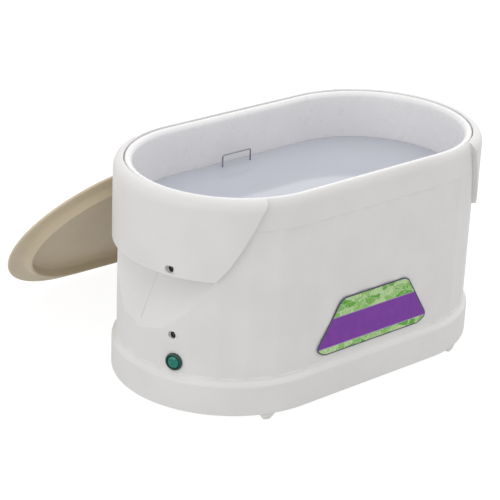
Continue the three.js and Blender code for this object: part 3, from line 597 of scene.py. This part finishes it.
# The pocket screws are real parts; their near-black colour is painted shade, darkening the screw pockets as
# deep shaded holes would be.
screw_black_painted_shade = zinc_plate("screw_black_painted_shade", (0.05, 0.05, 0.05))
white_rubber = rubbery("white_rubber", (0.74, 0.73, 0.70))
gasket_rubber = rubbery("gasket_rubber", (0.30, 0.29, 0.28))
black_plastic = moulded("black_plastic", (0.022, 0.022, 0.024), 0.48, grain=0.03)
cord_plastic = rubbery("cord_plastic", (0.028, 0.028, 0.03), 0.55)
bezel_plastic = moulded("bezel_plastic", (0.006, 0.045, 0.036), 0.25, grain=0.01)
green_lens = lens_plastic("green_lens", (0.003, 0.17, 0.125))
bulb_glass = moulded("bulb_glass", (0.70, 0.66, 0.55), 0.2)
label_print = printed_film("label_print")
heater_red = rubbery("heater_silicone", (0.45, 0.10, 0.04), 0.7)
glass_fibre = woven_glass("glass_fibre", (0.80, 0.74, 0.48))
block_plastic = moulded("block_plastic", (0.80, 0.76, 0.64), 0.5)
wire_black = rubbery("wire_black", (0.03, 0.03, 0.03), 0.5)
wire_white = rubbery("wire_white", (0.75, 0.75, 0.75), 0.5)
wire_green = rubbery("wire_green", (0.05, 0.27, 0.05), 0.5)
wire_red = rubbery("wire_red", (0.45, 0.05, 0.03), 0.5)


# ---- Outer housing ----
def ramp(value, low, high):
    """0 below low, 1 above high, smooth between."""
    t = np.clip((value - low) / (high - low), 0, 1)
    return t * t * (3 - 2 * t)


SKIRT_PROFILE = [
    (109.9, 0), (SKIRT_RADIUS, 0), (SKIRT_RADIUS, SKIRT_TOP), (109.25, SHOULDER_TOP), (WALL_RADIUS, 35.6),
]
SKIRT_ROUND = [0, 2.2, 1.5, 1.2, 0]
WALL_RIM = [
    (109.0, 204.5), (108.9, 206.3), (108.55, 208.3), (108.0, 210.1), (107.2, 211.8),
    (106.3, 213.0), (105.4, 213.75), (104.7, 214.0), (104.2, 213.8), (103.9, 213.2), (103.8, 212.2),
]
HOOD_RIM = [
    (113.6, 202.0), (113.45, 204.6), (112.9, 207.2), (111.9, 209.6), (110.6, 211.4),
    (109.0, 212.8), (107.4, 213.6), (105.6, 214.0), (104.4, 213.85), (103.9, 213.2), (103.8, 212.2),
]
EDGE_GROOVE = 0.9
EDGE_STEPS = [-2.0, -1.2, -0.6, -0.45, -0.25, 0.0, 0.2, 0.5, 1.0, 1.6, 2.4]
INSIDE_STEPS = 84
OUTSIDE_STEPS = 84


def hood_edge(z):
    return np.interp(z, HOOD_LEVELS, HOOD_ANGLES)


def housing_rows():
    """Heights of the rows between the skirt and the rim, closer together where shapes change."""
    rows = [35.9, 36.3, 36.7, 37.1, 37.5, 38.2]
    rows += list(np.arange(40, 132, 4.0)) + [133.4, HOOD_BOTTOM - 0.15]
    rows += [HOOD_BOTTOM, HOOD_BOTTOM + 0.25, HOOD_BOTTOM + 0.6, HOOD_BOTTOM + 1.1, HOOD_BOTTOM + 2]
    rows += list(np.arange(139, 182, 2.4)) + [182.4, 183.0, 183.3, 183.6, 183.9, 184.2, 185.2]
    return rows + list(np.arange(188, 202, 2.8))


def end_columns(edge):
    """Angles from the middle of an end to its side, with a column on the hood's edge."""
    per_mm = math.degrees(1 / WALL_RADIUS)
    first = np.linspace(0, edge - 3 * per_mm, INSIDE_STEPS)
    middle = [edge + step * per_mm for step in EDGE_STEPS]
    last = np.linspace(edge + 3.4 * per_mm, 90, OUTSIDE_STEPS)
    return np.concatenate([first, middle, last])


END_ARC = math.pi * WALL_RADIUS
HALF_WAY = END_ARC + 2 * HALF_STRAIGHT


def flute_ridges():
    """Ridges along half the outline, as distances from the start of an end, plus one past each."""
    first_on_side = END_ARC + HALF_STRAIGHT + SIDE_SHIFT - FLUTES_PER_SIDE / 2 * SIDE_PITCH
    on_side = first_on_side + SIDE_PITCH * np.arange(FLUTES_PER_SIDE + 1)
    on_end = END_ARC / FLUTES_PER_END * np.arange(1, FLUTES_PER_END)
    return np.concatenate([on_side[-2:] - HALF_WAY, on_end, on_side])


RIDGES = flute_ridges()
RIDGE_ROUND = 0.07


def fluting(distance, z):
    """Depth of the shallow flutes, which meet in rounded ridges."""
    k = np.clip(np.searchsorted(RIDGES, distance, "right") - 1, 0, len(RIDGES) - 2)
    t = (distance - RIDGES[k]) / (RIDGES[k + 1] - RIDGES[k])
    depth = np.hypot(4 * FLUTE_DEPTH * t * (1 - t), RIDGE_ROUND)
    foot = ramp(z, SHOULDER_TOP + 1.4, SHOULDER_TOP + 3.3)
    return depth * foot * (1 - ramp(z, FLUTE_TOP - 0.9, FLUTE_TOP))


def hood_radius(past_edge, z):
    """The hood's face, with its side edge and lower lip rounded."""
    side = 0.6
    lip = 1.0
    near = np.clip(past_edge + side, 0, side)
    above = np.clip(HOOD_BOTTOM + lip - z, 0, lip)
    drop = side - np.sqrt(side**2 - near**2 * 0.98) + lip - np.sqrt(lip**2 - above**2 * 0.98)
    return HOOD_RADIUS - drop


def housing_ring(kind, radius, z):
    """One ring of the housing: "plain" and "rim" rings have given radii, a "wall" ring is fluted."""
    edge = hood_edge(z)
    half = end_columns(edge)
    angles = np.concatenate([-half[::-1], half[1:]])[:-1]
    run = np.linspace(HALF_STRAIGHT, -HALF_STRAIGHT, 173)[:-1]
    past = (abs(angles) - edge) * math.radians(1) * WALL_RADIUS
    end_flutes = fluting((angles + 90) / 180 * END_ARC, z)
    side_flutes = fluting(END_ARC + HALF_STRAIGHT - run, z)
    if kind == "plain":
        end_r, side_r = np.full(len(angles), radius), np.full(len(run), radius)
    elif kind == "rim":
        wall_r, hood_r = radius
        end_r = np.where(past <= 0.01, hood_r, wall_r)
        side_r = np.full(len(run), wall_r)
    else:
        end_r = WALL_RADIUS - end_flutes
        side_r = WALL_RADIUS - side_flutes
        if z >= HOOD_BOTTOM:
            groove = EDGE_GROOVE * ramp(past, 0, 0.2) * (1 - ramp(past, 0.5, 1.6))
            end_r = np.where(past <= 0.01, hood_radius(past, z), end_r - groove)
    t = np.radians(angles)
    right = np.stack([HALF_STRAIGHT + end_r * np.cos(t), end_r * np.sin(t), np.full(len(t), z)], -1)
    left = np.stack([-HALF_STRAIGHT - end_r * np.cos(t), -end_r * np.sin(t), np.full(len(t), z)], -1)
    back = np.stack([run, side_r, np.full(len(run), z)], -1)
    front = np.stack([-run, -side_r, np.full(len(run), z)], -1)
    return np.concatenate([right, back, left, front])


def rim_rings():
    """The rim, where the hood's crown and the wall's rounding meet at the crest."""
    rings = []
    for (wall_r, wall_z), (hood_r, hood_z) in zip(WALL_RIM, HOOD_RIM):
        wall = housing_ring("rim", (wall_r, hood_r), wall_z)
        hood = housing_ring("rim", (wall_r, hood_r), hood_z)
        radial = np.hypot(np.abs(wall[:, 0]) - HALF_STRAIGHT, wall[:, 1])
        ends = np.abs(wall[:, 0]) > HALF_STRAIGHT
        on_hood = ends & (np.abs(radial - hood_r) < 1e-6) & (abs(hood_r - wall_r) > 1e-6)
        rings.append(np.where(on_hood[:, None], hood, wall))
    return rings


def lamp_turn():
    return math.atan2(LAMP_Y, -math.sqrt(WALL_RADIUS**2 - LAMP_Y**2))


def lamp_point(radius):
    turn = lamp_turn()
    return (-HALF_STRAIGHT + radius * math.cos(turn), radius * math.sin(turn), LAMP_Z)


def recess_face(z, inset=0.0):
    """Distance of the hand recess's face from the end's axis."""
    return RECESS_FACE - inset * math.hypot(1, RECESS_SLOPE) + RECESS_SLOPE * (HOOD_BOTTOM - z)


def recess_void(side):
    """The wedge the hand recess takes out of an end."""
    top = HOOD_BOTTOM - 0.08
    outside = HOOD_RADIUS + 4
    foot = HOOD_BOTTOM - (outside - RECESS_FACE) / RECESS_SLOPE
    outline = [(recess_face(top), top), (outside, foot), (outside, top)]
    wide = WALL_RADIUS
    points = [(side * (HALF_STRAIGHT + u), side * y, z) for y in (-wide, wide) for u, z in outline]
    return points, [[0, 1, 2], [5, 4, 3], [0, 3, 4, 1], [1, 4, 5, 2], [2, 5, 3, 0]]


def recess_skin(side):
    """The housing's wall behind the recess: its inner face and its roof."""
    reach = WALL_RADIUS - 2
    rings = []
    for z in (70.0, 90.0, 112.0, HOOD_BOTTOM + SHELL):
        face = recess_face(z, SHELL)
        turn = np.linspace(-1, 1, 33) * math.acos(face / reach)
        ring = [(side * (HALF_STRAIGHT + reach * math.cos(a)), side * reach * math.sin(a), z) for a in turn]
        rings.append(ring)
    return stacked(rings)


def pocket_slot(floor_x, z):
    """A screw pocket: a short slot with a flat floor, which runs out where the wall curves back."""
    turn = np.radians(np.arange(0, 360, 9))
    run = np.where(np.cos(turn) > 0, POCKET_BACK, -POCKET_FRONT)
    y = POCKET_Y + run + POCKET_RADIUS * np.cos(turn)
    height = z + POCKET_RADIUS * np.sin(turn)
    rings = []
    for x in (floor_x - 20, floor_x):
        rings.append(np.stack([np.full(len(y), x), y, height], -1))
    return stacked(rings)


def recess_line():
    """A fine mould line down the left recess face."""
    top, low = HOOD_BOTTOM - 0.4, HOOD_BOTTOM - MOULD_LINE_LENGTH
    points = []
    for y in MOULD_LINE_SIDES:
        for z in (low, top):
            face = recess_face(z)
            points.append((-HALF_STRAIGHT - face + MOULD_LINE_DEPTH, y, z))
            points.append((-HALF_STRAIGHT - face - 1, y, z))
    return points, [[0, 2, 3, 1], [4, 5, 7, 6], [0, 1, 5, 4], [2, 6, 7, 3], [0, 4, 6, 2], [1, 3, 7, 5]]


def outer_housing():
    skirt = rounded(SKIRT_PROFILE, SKIRT_ROUND, steps=6)
    rings = [housing_ring("plain", r, z) for r, z in skirt]
    rings += [housing_ring("wall", 0, z) for z in housing_rows()]
    rings += rim_rings()
    ledge = [(SEAM_RADIUS, 211), (SEAM_RADIUS, LEDGE_TOP), (LEDGE_RADIUS, LEDGE_TOP)]
    ledge += [(LEDGE_RADIUS, LEDGE_TOP - 6), (WALL_RADIUS - SHELL, LEDGE_TOP - 6)]
    inside = [(WALL_RADIUS - SHELL, 35), (SKIRT_RADIUS - SHELL, 29), (SKIRT_RADIUS - SHELL, 0)]
    rings += [housing_ring("plain", r, z) for r, z in ledge + inside]
    made = piece("housing", looped(rings), white_plastic, "bath", ["outer_housing"])
    removed = [recess_void(-1), recess_void(1), recess_line()]
    for floor_x, z in (UPPER_POCKET, LOWER_POCKET):
        removed.append(pocket_slot(floor_x, z))
        seat = [(floor_x + step, POCKET_Y, z) for step in (-1, 1.7)]
        removed.append(plain_bar(SCREW_HEAD + 0.3, *seat))
    removed.append(plain_bar(LAMP_BARREL + 0.3, lamp_point(98), lamp_point(WALL_RADIUS + 9)))
    removed.append(plain_bar(LAMP_FLANGE + 0.3, lamp_point(LAMP_SEAT), lamp_point(WALL_RADIUS + 9)))
    x, z, radius = CORD_EXIT
    removed.append(plain_bar(radius, (x, WALL_RADIUS - 9, z), (x, WALL_RADIUS + 13, z)))
    added = [recess_skin(-1), recess_skin(1)]
    for start, (_, z) in zip(BOSS_STARTS, (UPPER_POCKET, LOWER_POCKET)):
        added.append(plain_bar(BOSS_RADIUS, (start, POCKET_Y, z), (BOSS_END, POCKET_Y, z)))
    carved(made, removed, added, sharp=20)


outer_housing()


# ---- Tank, gasket and wax ----
def tank():
    outside = [
        (76, TANK_FLOOR - 2, TANK_SHORT), (85, TANK_FLOOR - 0.5, TANK_SHORT),
        (90.5, TANK_FLOOR + 6, TANK_SHORT), (92.5, TANK_FLOOR + 17, TANK_SHORT),
        (94.3, STEP_FOOT, TANK_SHORT), (95.3, STEP_TOP), (97, 203),
    ]
    rim = [(98.5, 207.2), (SEAM_RADIUS - 0.5, 207.2), (SEAM_RADIUS - 0.5, 211.6)]
    rim += [(102.2, 213.1), (98.6, 213.1)]
    lip = rounded(rim + [(95.6, 210.2), (94.95, 203)], [0, 0.4, 1.4, 1.6, 2.6, 3.0, 0], steps=6)
    inside = [
        (94.4, 188), (93.3, WAX_TOP), (93.15, STEP_TOP), (92.2, STEP_FOOT, TANK_SHORT),
        (90.5, TANK_FLOOR + 17, TANK_SHORT), (88.5, TANK_FLOOR + 7.5, TANK_SHORT),
        (84, TANK_FLOOR + 1.8, TANK_SHORT), (76, TANK_FLOOR, TANK_SHORT),
    ]
    rings = oval_rings(outside + lip + inside, 96, 40)
    # The tank's lighter white is painted light for its shaded inside.
    made = piece("tank", stacked(rings), tank_white_painted_light, "bath", ["tank_liner"])
    studs = [plain_bar(2.5, (x, 0, 62), (x, 0, TANK_FLOOR - 0.5)) for x in (-60, 60)]
    carved(made, [], studs)


def gasket():
    out, inner, low = SEAM_RADIUS - 0.4, LEDGE_RADIUS + 0.3, LEDGE_TOP + 0.1
    section = [(out, low), (out, low + 0.9), (out - 1.2, low + 1), (inner, low + 0.9), (inner, low)]
    shape = looped(oval_rings(section, 96, 24))
    piece("rim_seal", shape, gasket_rubber, "bath", ["rim_gasket"])


def handle_legs():
    return [(x, side * HANDLE_Y) for x in HANDLE_SPAN for side in (-1, 1)]


def wax():
    rows = [
        (88.3, TANK_FLOOR + 10, TANK_SHORT), (90.1, TANK_FLOOR + 17, TANK_SHORT),
        (91.8, STEP_FOOT, TANK_SHORT), (92.7, STEP_TOP), (92.95, WAX_TOP), (92.3, WAX_TOP - 0.15),
        (91.3, WAX_TOP - 0.32), (90, WAX_TOP - 0.4), (60, WAX_TOP - 0.4),
    ]
    made = piece("wax", stacked(oval_rings(rows, 96, 40)), wax_finish, "bath", ["paraffin_wax"])
    carved(made, [plain_bar(1.1, (x, y, 60), (x, y, 180)) for x, y in handle_legs()])


tank()
gasket()
wax()


# ---- Wire grille ----
LONG_WIRE_Z = TANK_FLOOR + GRILLE_WIRE + 2
EDGE_WIRE_Z = LONG_WIRE_Z + 2 * GRILLE_WIRE - 0.4


def grille():
    straight = HALF_STRAIGHT - TANK_SHORT
    ring = oval_rings([(GRILLE_RADIUS, EDGE_WIRE_Z, TANK_SHORT)], 48, 20)[0]
    bars = [tube(ring, GRILLE_WIRE, closed=True)]
    for y in LONG_WIRE_PLACES:
        reach = straight + math.sqrt(GRILLE_RADIUS**2 - y**2) - 0.1
        bars.append(bar(GRILLE_WIRE, (-reach, y, LONG_WIRE_Z), (reach, y, LONG_WIRE_Z), 12))
    for i in range(-3, 4):
        x = CROSS_WIRE_PITCH * i
        reach = math.sqrt(GRILLE_RADIUS**2 - max(abs(x) - straight, 0) ** 2) - 0.1
        bars.append(bar(GRILLE_WIRE, (x, -reach, EDGE_WIRE_Z), (x, reach, EDGE_WIRE_Z), 12))
    piece("grille", merged(*bars), bright_wire, "wire_grille", ["wire_grille"])


def grille_handle(name, side):
    foot = EDGE_WIRE_Z + GRILLE_WIRE + 0.35
    top = HANDLE_TOP - GRILLE_WIRE
    x0, x1 = HANDLE_SPAN
    bend = 2.4
    arc = np.radians(np.linspace(0, 90, 7))
    y = side * HANDLE_Y
    path = [(x0, y, z) for z in np.linspace(foot, top - bend - 1, 6)]
    path += [(x0 + bend * (1 - math.cos(a)), y, top - bend * (1 - math.sin(a))) for a in arc]
    path += [(x1 - bend * (1 - math.cos(a)), y, top - bend * (1 - math.sin(a))) for a in arc[::-1]]
    path += [(x1, y, z) for z in np.linspace(top - bend - 1, foot, 6)]
    piece(name, tube(path, 0.72), bright_wire, "wire_grille", ["grille_" + name])


grille()
grille_handle("handle_front", -1)
grille_handle("handle_back", 1)


# ---- Screws, lamp and feet ----
def pocket_screw(name, floor_x, z, node):
    head = [(0, -1.3), (1.4, -1.2), (2.4, -0.8), (3.0, -0.1), (3.2, 0.6), (3.2, 1.4)]
    shape = turned(head + [(1.6, 1.4), (1.6, 10), (0.6, 11), (0, 11)], 32)
    turn = Matrix.Translation((floor_x, POCKET_Y, z)) @ Matrix.Rotation(math.radians(90), 4, "Y")
    # The screw's near-black colour is painted shade inside its pocket.
    made = piece(name, moved(shape, turn), screw_black_painted_shade, "bath", [node])
    slots = []
    for half_y, half_z in ((2.0, 0.4), (0.4, 2.0)):
        across = (POCKET_Y - half_y, POCKET_Y + half_y)
        slots.append(block((floor_x - 2, floor_x + 0.2), across, (z - half_z, z + half_z)))
    carved(made, slots)


def block(x, y, z):
    ring = [(x[0], y[0]), (x[1], y[0]), (x[1], y[1]), (x[0], y[1])]
    return stacked([[(a, b, h) for a, b in ring] for h in z])


def lamp():
    turn = Matrix.Translation(lamp_point(LAMP_SEAT + 0.2)) @ Matrix.Rotation(lamp_turn(), 4, "Z")
    turn = turn @ Matrix.Rotation(math.radians(90), 4, "Y")
    bore = LAMP_BARREL - 0.9
    outline = [
        (bore, -16), (LAMP_BARREL, -16), (LAMP_BARREL, 0), (LAMP_FLANGE, 0), (LAMP_FLANGE, 2.2),
        (LAMP_FLANGE - 0.9, 2.9), (bore + 1.3, 2.9), (bore + 1.1, 1.5), (bore, 1.1),
    ]
    ring = rounded(outline, [0, 0.4, 0, 0.4, 1.0, 0.9, 0.4, 0.2, 0], closed=True)
    bezel = turned(ring + [ring[0]], 56)
    piece("lamp_bezel", moved(bezel, turn), bezel_plastic, "bath", ["pilot_lamp_bezel"])
    facets = [(0, -1), (5.0, -1), (5.0, 1.4), (6.1, 1.9), (5.7, 2.6), (3.6, 3.2), (0, 3.5)]
    lens = moved(turned(facets, 10), turn)
    piece("lamp_lens", lens, green_lens, "bath", ["pilot_lamp_lens"], sharp=4)


def soft_rectangle(wide, deep, corner, z, steps=5):
    ring = []
    turn = np.linspace(0, math.pi / 2, steps)
    for k, (sx, sy) in enumerate(((1, 1), (-1, 1), (-1, -1), (1, -1))):
        for a in turn + k * math.pi / 2:
            x = sx * (wide / 2 - corner) + corner * math.cos(a)
            y = sy * (deep / 2 - corner) + corner * math.sin(a)
            ring.append((x, y, z))
    return ring


def foot(name, sx, sy):
    turn = math.acos((FOOT_X - HALF_STRAIGHT) / FOOT_RADIAL)
    at = (sx * FOOT_X, sy * FOOT_RADIAL * math.sin(turn), 0)
    rows = [(5.4, 6.4, -7.0), (5.9, 7.0, -6.7), (6.4, 7.8, -6.2)]
    rows += [(8.9, 14.6, -1.2), (9.0, 15.0, -0.8), (9.0, 15.0, -0.1)]
    body = stacked([soft_rectangle(w, d, 1.3, z) for w, d, z in rows])
    peg_profile = [(0, -1), (2.4, -1), (2.4, 3.2), (3.0, 3.4), (2.6, 4.6), (1.8, 6), (0, 6)]
    peg = moved(turned(peg_profile, 20), Matrix.Translation((-2.8, 0, 0)))
    face = math.atan2(sy * math.sin(turn), sx * math.cos(turn))
    place = Matrix.Translation(at) @ Matrix.Rotation(face, 4, "Z")
    made = piece(name, moved(body, place), white_rubber, "bath", [name])
    carved(made, [], [moved(peg, place)])


pocket_screw("screw_upper", *UPPER_POCKET, "bracket_screw_upper")
pocket_screw("screw_lower", *LOWER_POCKET, "bracket_screw_lower")
lamp()
for end, sx in (("left", -1), ("right", 1)):
    for long_side, sy in (("front", -1), ("back", 1)):
        foot(f"foot_{long_side}_{end}", sx, sy)


# ---- Label ----
LABEL_CORNERS = [(-63, 43, 11), (63, 43, 11), (73, 50, 12), (43, 98, 14), (-43, 98, 14), (-73, 50, 12)]


def label_outline():
    outline = []
    count = len(LABEL_CORNERS)
    for k, (x, z, reach) in enumerate(LABEL_CORNERS):
        here = np.array((x, z), float)
        ends = []
        for other in (LABEL_CORNERS[k - 1], LABEL_CORNERS[(k + 1) % count]):
            way = np.array(other[:2], float) - here
            ends.append(here + way / np.linalg.norm(way) * reach / 2)
        for t in np.linspace(0, 1, 9):
            outline.append((1 - t) ** 2 * ends[0] + 2 * t * (1 - t) * here + t**2 * ends[1])
    return np.array(outline)


def label():
    outline = label_outline()
    along = np.roll(outline, -1, 0) - np.roll(outline, 1, 0)
    along /= np.linalg.norm(along, axis=1)[:, None]
    inward = np.stack([-along[:, 1], along[:, 0]], -1)
    rows = [(0, 0), (0, LABEL_THICK - 0.15), (0.15, LABEL_THICK), (1.3, LABEL_THICK), (2.6, LABEL_THICK)]
    rings = []
    for inset, height in rows:
        ring = outline + inward * inset
        y = np.full(len(ring), -LABEL_BACK - height)
        rings.append(np.stack([ring[:, 0] + LABEL_SHIFT, y, ring[:, 1]], -1))
    made = piece("label", stacked(rings), label_print, "bath", ["front_label"])
    distance = made.data.attributes.new("edge_distance", "FLOAT", "POINT")
    distance.data.foreach_set("value", np.repeat([inset for inset, _ in rows], len(outline)))


label()


# ---- Lid ----
def lid():
    under = [
        (84, 6.8), (93, 6.4), (97.5, 5.6), (102, 3.2), (116.0, 3.0), (LID_RADIUS, 2.2), (LID_RADIUS, 0.7),
        (115.8, 0.05), (104.5, 0.05), (100.5, -0.9), (97.8, -4.4), (95.6, -8.0), (94.2, -8.4), (92.8, -7.4),
        (91.4, 0.2), (89, 1.6), (84, 2.6),
    ]
    turns = [0, 2, 2, 2, 0.5, 0.8, 0.8, 1.2, 2.2, 2, 2, 0.8, 0.7, 1.0, 1.4, 1.6, 0]
    outline = rounded(under[::-1], turns[::-1], steps=5)
    rings = oval_rings(outline, 120, 40)
    place = Matrix.Translation(LID_CENTRE) @ Matrix.Rotation(math.radians(-LID_TILT), 4, "X")
    shape = moved(stacked(rings), place @ Matrix.Rotation(math.radians(LID_SPIN), 4, "Z"))
    piece("lid_panel", shape, tan_plastic, "lid", ["lid"])


lid()


# ---- Mains cord, strain relief and plug ----
def cord_path():
    on_table = TABLE + CORD_RADIUS + 0.2
    x, z, _ = CORD_EXIT
    points = [(-76, 66, 16), (-20, 66, 16), (40, 74, 18), (x - 2, 86, z)]
    points += [(x, y, z) for y in (96, 106, 116, 126, 138)]
    points.append((x + 4, 150, z - 5))
    for i in range(17):
        a = math.pi * i / 4
        lift = max(9 - 4.5 * i, 0)
        wide, deep = COIL_WIDE - COIL_PITCH * i / 8, COIL_DEEP - COIL_PITCH * i / 8
        x, y = COIL_CENTRE
        points.append((x + wide * math.cos(a), y + deep * math.sin(a), on_table + 0.05 * i + lift))
    points += [(36, 192, on_table + 8), (62, 205, on_table + 8.5), (92, 208, PLUG[2]), (118, 204, PLUG[2])]
    return flowing(points, 420)


def power_cord():
    shape = tube(cord_path(), CORD_RADIUS - 0.05, 18)
    piece("cord", shape, cord_plastic, "bath", ["power_cord"])


def strain_relief():
    bore = CORD_RADIUS + 0.6
    outline = [(bore, -8), (6.2, -8), (6.2, 2), (9, 2.3), (9, 5), (6.4, 6)]
    outer = [0, 0.4, 0, 0.8, 1.0, 0.6]
    for k in range(6):
        z = 8 + 2.8 * k
        wide = 6.3 - 0.2 * k
        outline += [(wide, z), (wide - 0.1, z + 1.6), (wide - 0.7, z + 1.9), (wide - 0.75, z + 2.6)]
        outer += [0.3, 0.3, 0.2, 0.2]
    outline += [(4.9, 25.2), (4.7, 26), (bore, 26)]
    outer += [0.2, 0.3, 0]
    ring = rounded(outline, outer, steps=4, closed=True)
    shape = turned(ring + [ring[0]], 40)
    x, z, _ = CORD_EXIT
    turn = Matrix.Translation((x, WALL_RADIUS + 2, z)) @ Matrix.Rotation(math.radians(-90), 4, "X")
    piece("cord_guard", moved(shape, turn), black_plastic, "bath", ["strain_relief"])


def plug():
    turn = Matrix.Translation(PLUG) @ Matrix.Rotation(-0.15, 4, "Z")
    turn = turn @ Matrix.Rotation(math.radians(90), 4, "Y")
    rows = [(3, 8.0, 8.0), (3.6, 9, 9), (8, 9.8, 11), (16, 13, 17)]
    for z in np.arange(18, 33, 2.4):
        share = (z - 16) / 18
        for rise, thinner in ((0, 0), (0.6, 0.7), (1.2, 0.7), (1.8, 0)):
            rows.append((z + rise, 13 - thinner + 6.6 * share, 17 - thinner + 7.6 * share))
    rows += [(34.4, 20, 25), (39.4, 20, 25), (40, 19.2, 24.2)]
    body = stacked([soft_rectangle(h, w, 0.24 * h, z) for z, h, w in rows])
    piece("plug", moved(body, turn), black_plastic, "bath", ["plug_body"])
    for name, y in (("blade_live", -6.3), ("blade_neutral", 6.3)):
        tiers = [(6.3, 1.5, 40.3), (6.3, 1.5, 54.8), (5.7, 1.1, 55.8), (4.9, 0.8, 56.2)]
        blade = stacked([soft_rectangle(w, d, 0.3, z, 3) for w, d, z in tiers])
        shape = moved(blade, turn @ Matrix.Translation((4, y, 0)))
        piece(name, shape, bright_wire, "bath", ["plug_" + name])
    pin = [(0, 40.3), (2.4, 40.3), (2.4, 58.4), (2.0, 60), (1.1, 60.9), (0, 61)]
    shape = moved(turned(pin, 24), turn @ Matrix.Translation((-6, 0, 0)))
    piece("earth_pin", shape, bright_wire, "bath", ["plug_earth_pin"])


power_cord()
strain_relief()
plug()


# ---- Inner pieces carried over with their own finishes ----
CARRIED = {
    "base_pan": white_inside,
    "heater_mat": heater_red,
    "heater_press_plate": zinc,
    "heater_nut_left": zinc,
    "heater_nut_right": zinc,
    "insulation_wrap": glass_fibre,
    "insulation_pad": glass_fibre,
    "control_bracket": zinc,
    "hood_brace": zinc,
    "thermostat": black_plastic,
    "thermal_fuse": zinc,
    "fuse_clip": zinc,
    "terminal_block": block_plastic,
    "lead_heater_live": wire_black,
    "lead_heater_return": wire_white,
    "lead_earth": wire_green,
    "lead_lamp": wire_black,
    "lead_thermostat": wire_red,
    "pilot_lamp_bulb": bulb_glass,
    "pilot_lamp_nut": zinc,
    "base_screw_front_left": zinc,
    "base_screw_front_right": zinc,
    "base_screw_back_left": zinc,
    "base_screw_back_right": zinc,
}
for node, finish in CARRIED.items():
    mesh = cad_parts[node].data
    mesh.materials.clear()
    mesh.materials.append(finish)


# ---- Stage, light and camera ----
CAMERA_AZIMUTH = -41.074
CAMERA_ELEVATION = 23.462
CAMERA_ROLL = 2.499
CAMERA_LENS = 133.25
CAMERA_OFFSET = (-42.875, 89.589, 1871.2)


def camera():
    a, e, r = map(math.radians, (CAMERA_AZIMUTH, CAMERA_ELEVATION, CAMERA_ROLL))
    back = Vector((math.sin(a) * math.cos(e), -math.cos(a) * math.cos(e), math.sin(e)))
    right = Vector((math.cos(a), math.sin(a), 0))
    up = back.cross(right)
    across = right * math.cos(r) + up * math.sin(r)
    over = up * math.cos(r) - right * math.sin(r)
    x, y, distance = CAMERA_OFFSET
    made = bpy.data.objects.new("camera", bpy.data.cameras.new("camera"))
    bpy.context.scene.collection.objects.link(made)
    turn = Matrix((across, over, back)).transposed().to_4x4()
    made.matrix_world = Matrix.Translation((across * x + over * y + back * distance) * MM) @ turn
    made.data.sensor_width = 36
    made.data.lens = CAMERA_LENS
    made.data.clip_end = 50
    bpy.context.scene.camera = made


def pale_floor():
    size = 6000
    corners = [(-size, -size), (size, -size), (size, size), (-size, size)]
    mesh = bpy.data.meshes.new("floor")
    mesh.from_pydata([(x * MM, y * MM, (TABLE - 0.05) * MM) for x, y in corners], [], [[0, 1, 2, 3]])
    made = bpy.data.objects.new("floor", mesh)
    bpy.context.scene.collection.objects.link(made)
    paper = bpy.data.materials.new("pale_floor")
    paper.use_nodes = True
    tree = paper.node_tree
    tree.nodes.clear()
    seen = tree.nodes.new("ShaderNodeLightPath")
    pick = tree.nodes.new("ShaderNodeMixShader")
    out = tree.nodes.new("ShaderNodeOutputMaterial")
    tree.links.new(seen.outputs["Is Camera Ray"], pick.inputs[0])
    for socket, gray, light in ((1, 0.25, 0.5), (2, 0.16, 0.92)):
        matt = tree.nodes.new("ShaderNodeBsdfDiffuse")
        matt.inputs["Color"].default_value = (gray, gray, gray, 1)
        glow = tree.nodes.new("ShaderNodeEmission")
        glow.inputs["Strength"].default_value = light
        both = tree.nodes.new("ShaderNodeAddShader")
        tree.links.new(matt.outputs[0], both.inputs[0])
        tree.links.new(glow.outputs[0], both.inputs[1])
        tree.links.new(both.outputs[0], pick.inputs[socket])
    tree.links.new(pick.outputs[0], out.inputs[0])
    made.data.materials.append(paper)


def soft_sun(name, azimuth, elevation, spread, strength):
    """A broad light from a compass direction: azimuth 0 comes from -Y, 90 from +X."""
    light = bpy.data.lights.new(name, "SUN")
    light.energy = strength
    light.angle = math.radians(spread)
    made = bpy.data.objects.new(name, light)
    bpy.context.scene.collection.objects.link(made)
    a, e = math.radians(azimuth), math.radians(elevation)
    source = Vector((math.sin(a) * math.cos(e), -math.cos(a) * math.cos(e), math.sin(e)))
    made.rotation_euler = source.to_track_quat("Z", "Y").to_euler()


def sky():
    world = bpy.data.worlds.new("studio")
    bpy.context.scene.world = world
    world.use_nodes = True
    tree = world.node_tree
    tree.nodes.clear()
    seen = tree.nodes.new("ShaderNodeLightPath")
    out = tree.nodes.new("ShaderNodeOutputWorld")
    below = None
    for ray, strength in ((None, 0.7), ("Is Glossy Ray", 1.2), ("Is Camera Ray", 1.02)):
        sheet = tree.nodes.new("ShaderNodeBackground")
        sheet.inputs["Color"].default_value = (1, 1, 1, 1)
        sheet.inputs["Strength"].default_value = strength
        if ray is None:
            below = sheet.outputs[0]
            continue
        pick = tree.nodes.new("ShaderNodeMixShader")
        tree.links.new(seen.outputs[ray], pick.inputs[0])
        tree.links.new(below, pick.inputs[1])
        tree.links.new(sheet.outputs[0], pick.inputs[2])
        below = pick.outputs[0]
    tree.links.new(below, out.inputs[0])


bpy.context.scene.view_settings.view_transform = "Standard"
pale_floor()
sky()
soft_sun("overhead", 95, 78, 100, 1.0)
soft_sun("left_fill", -86, 8, 46, 0.55)
soft_sun("right_fill", 120, 15, 60, 0.25)
camera()
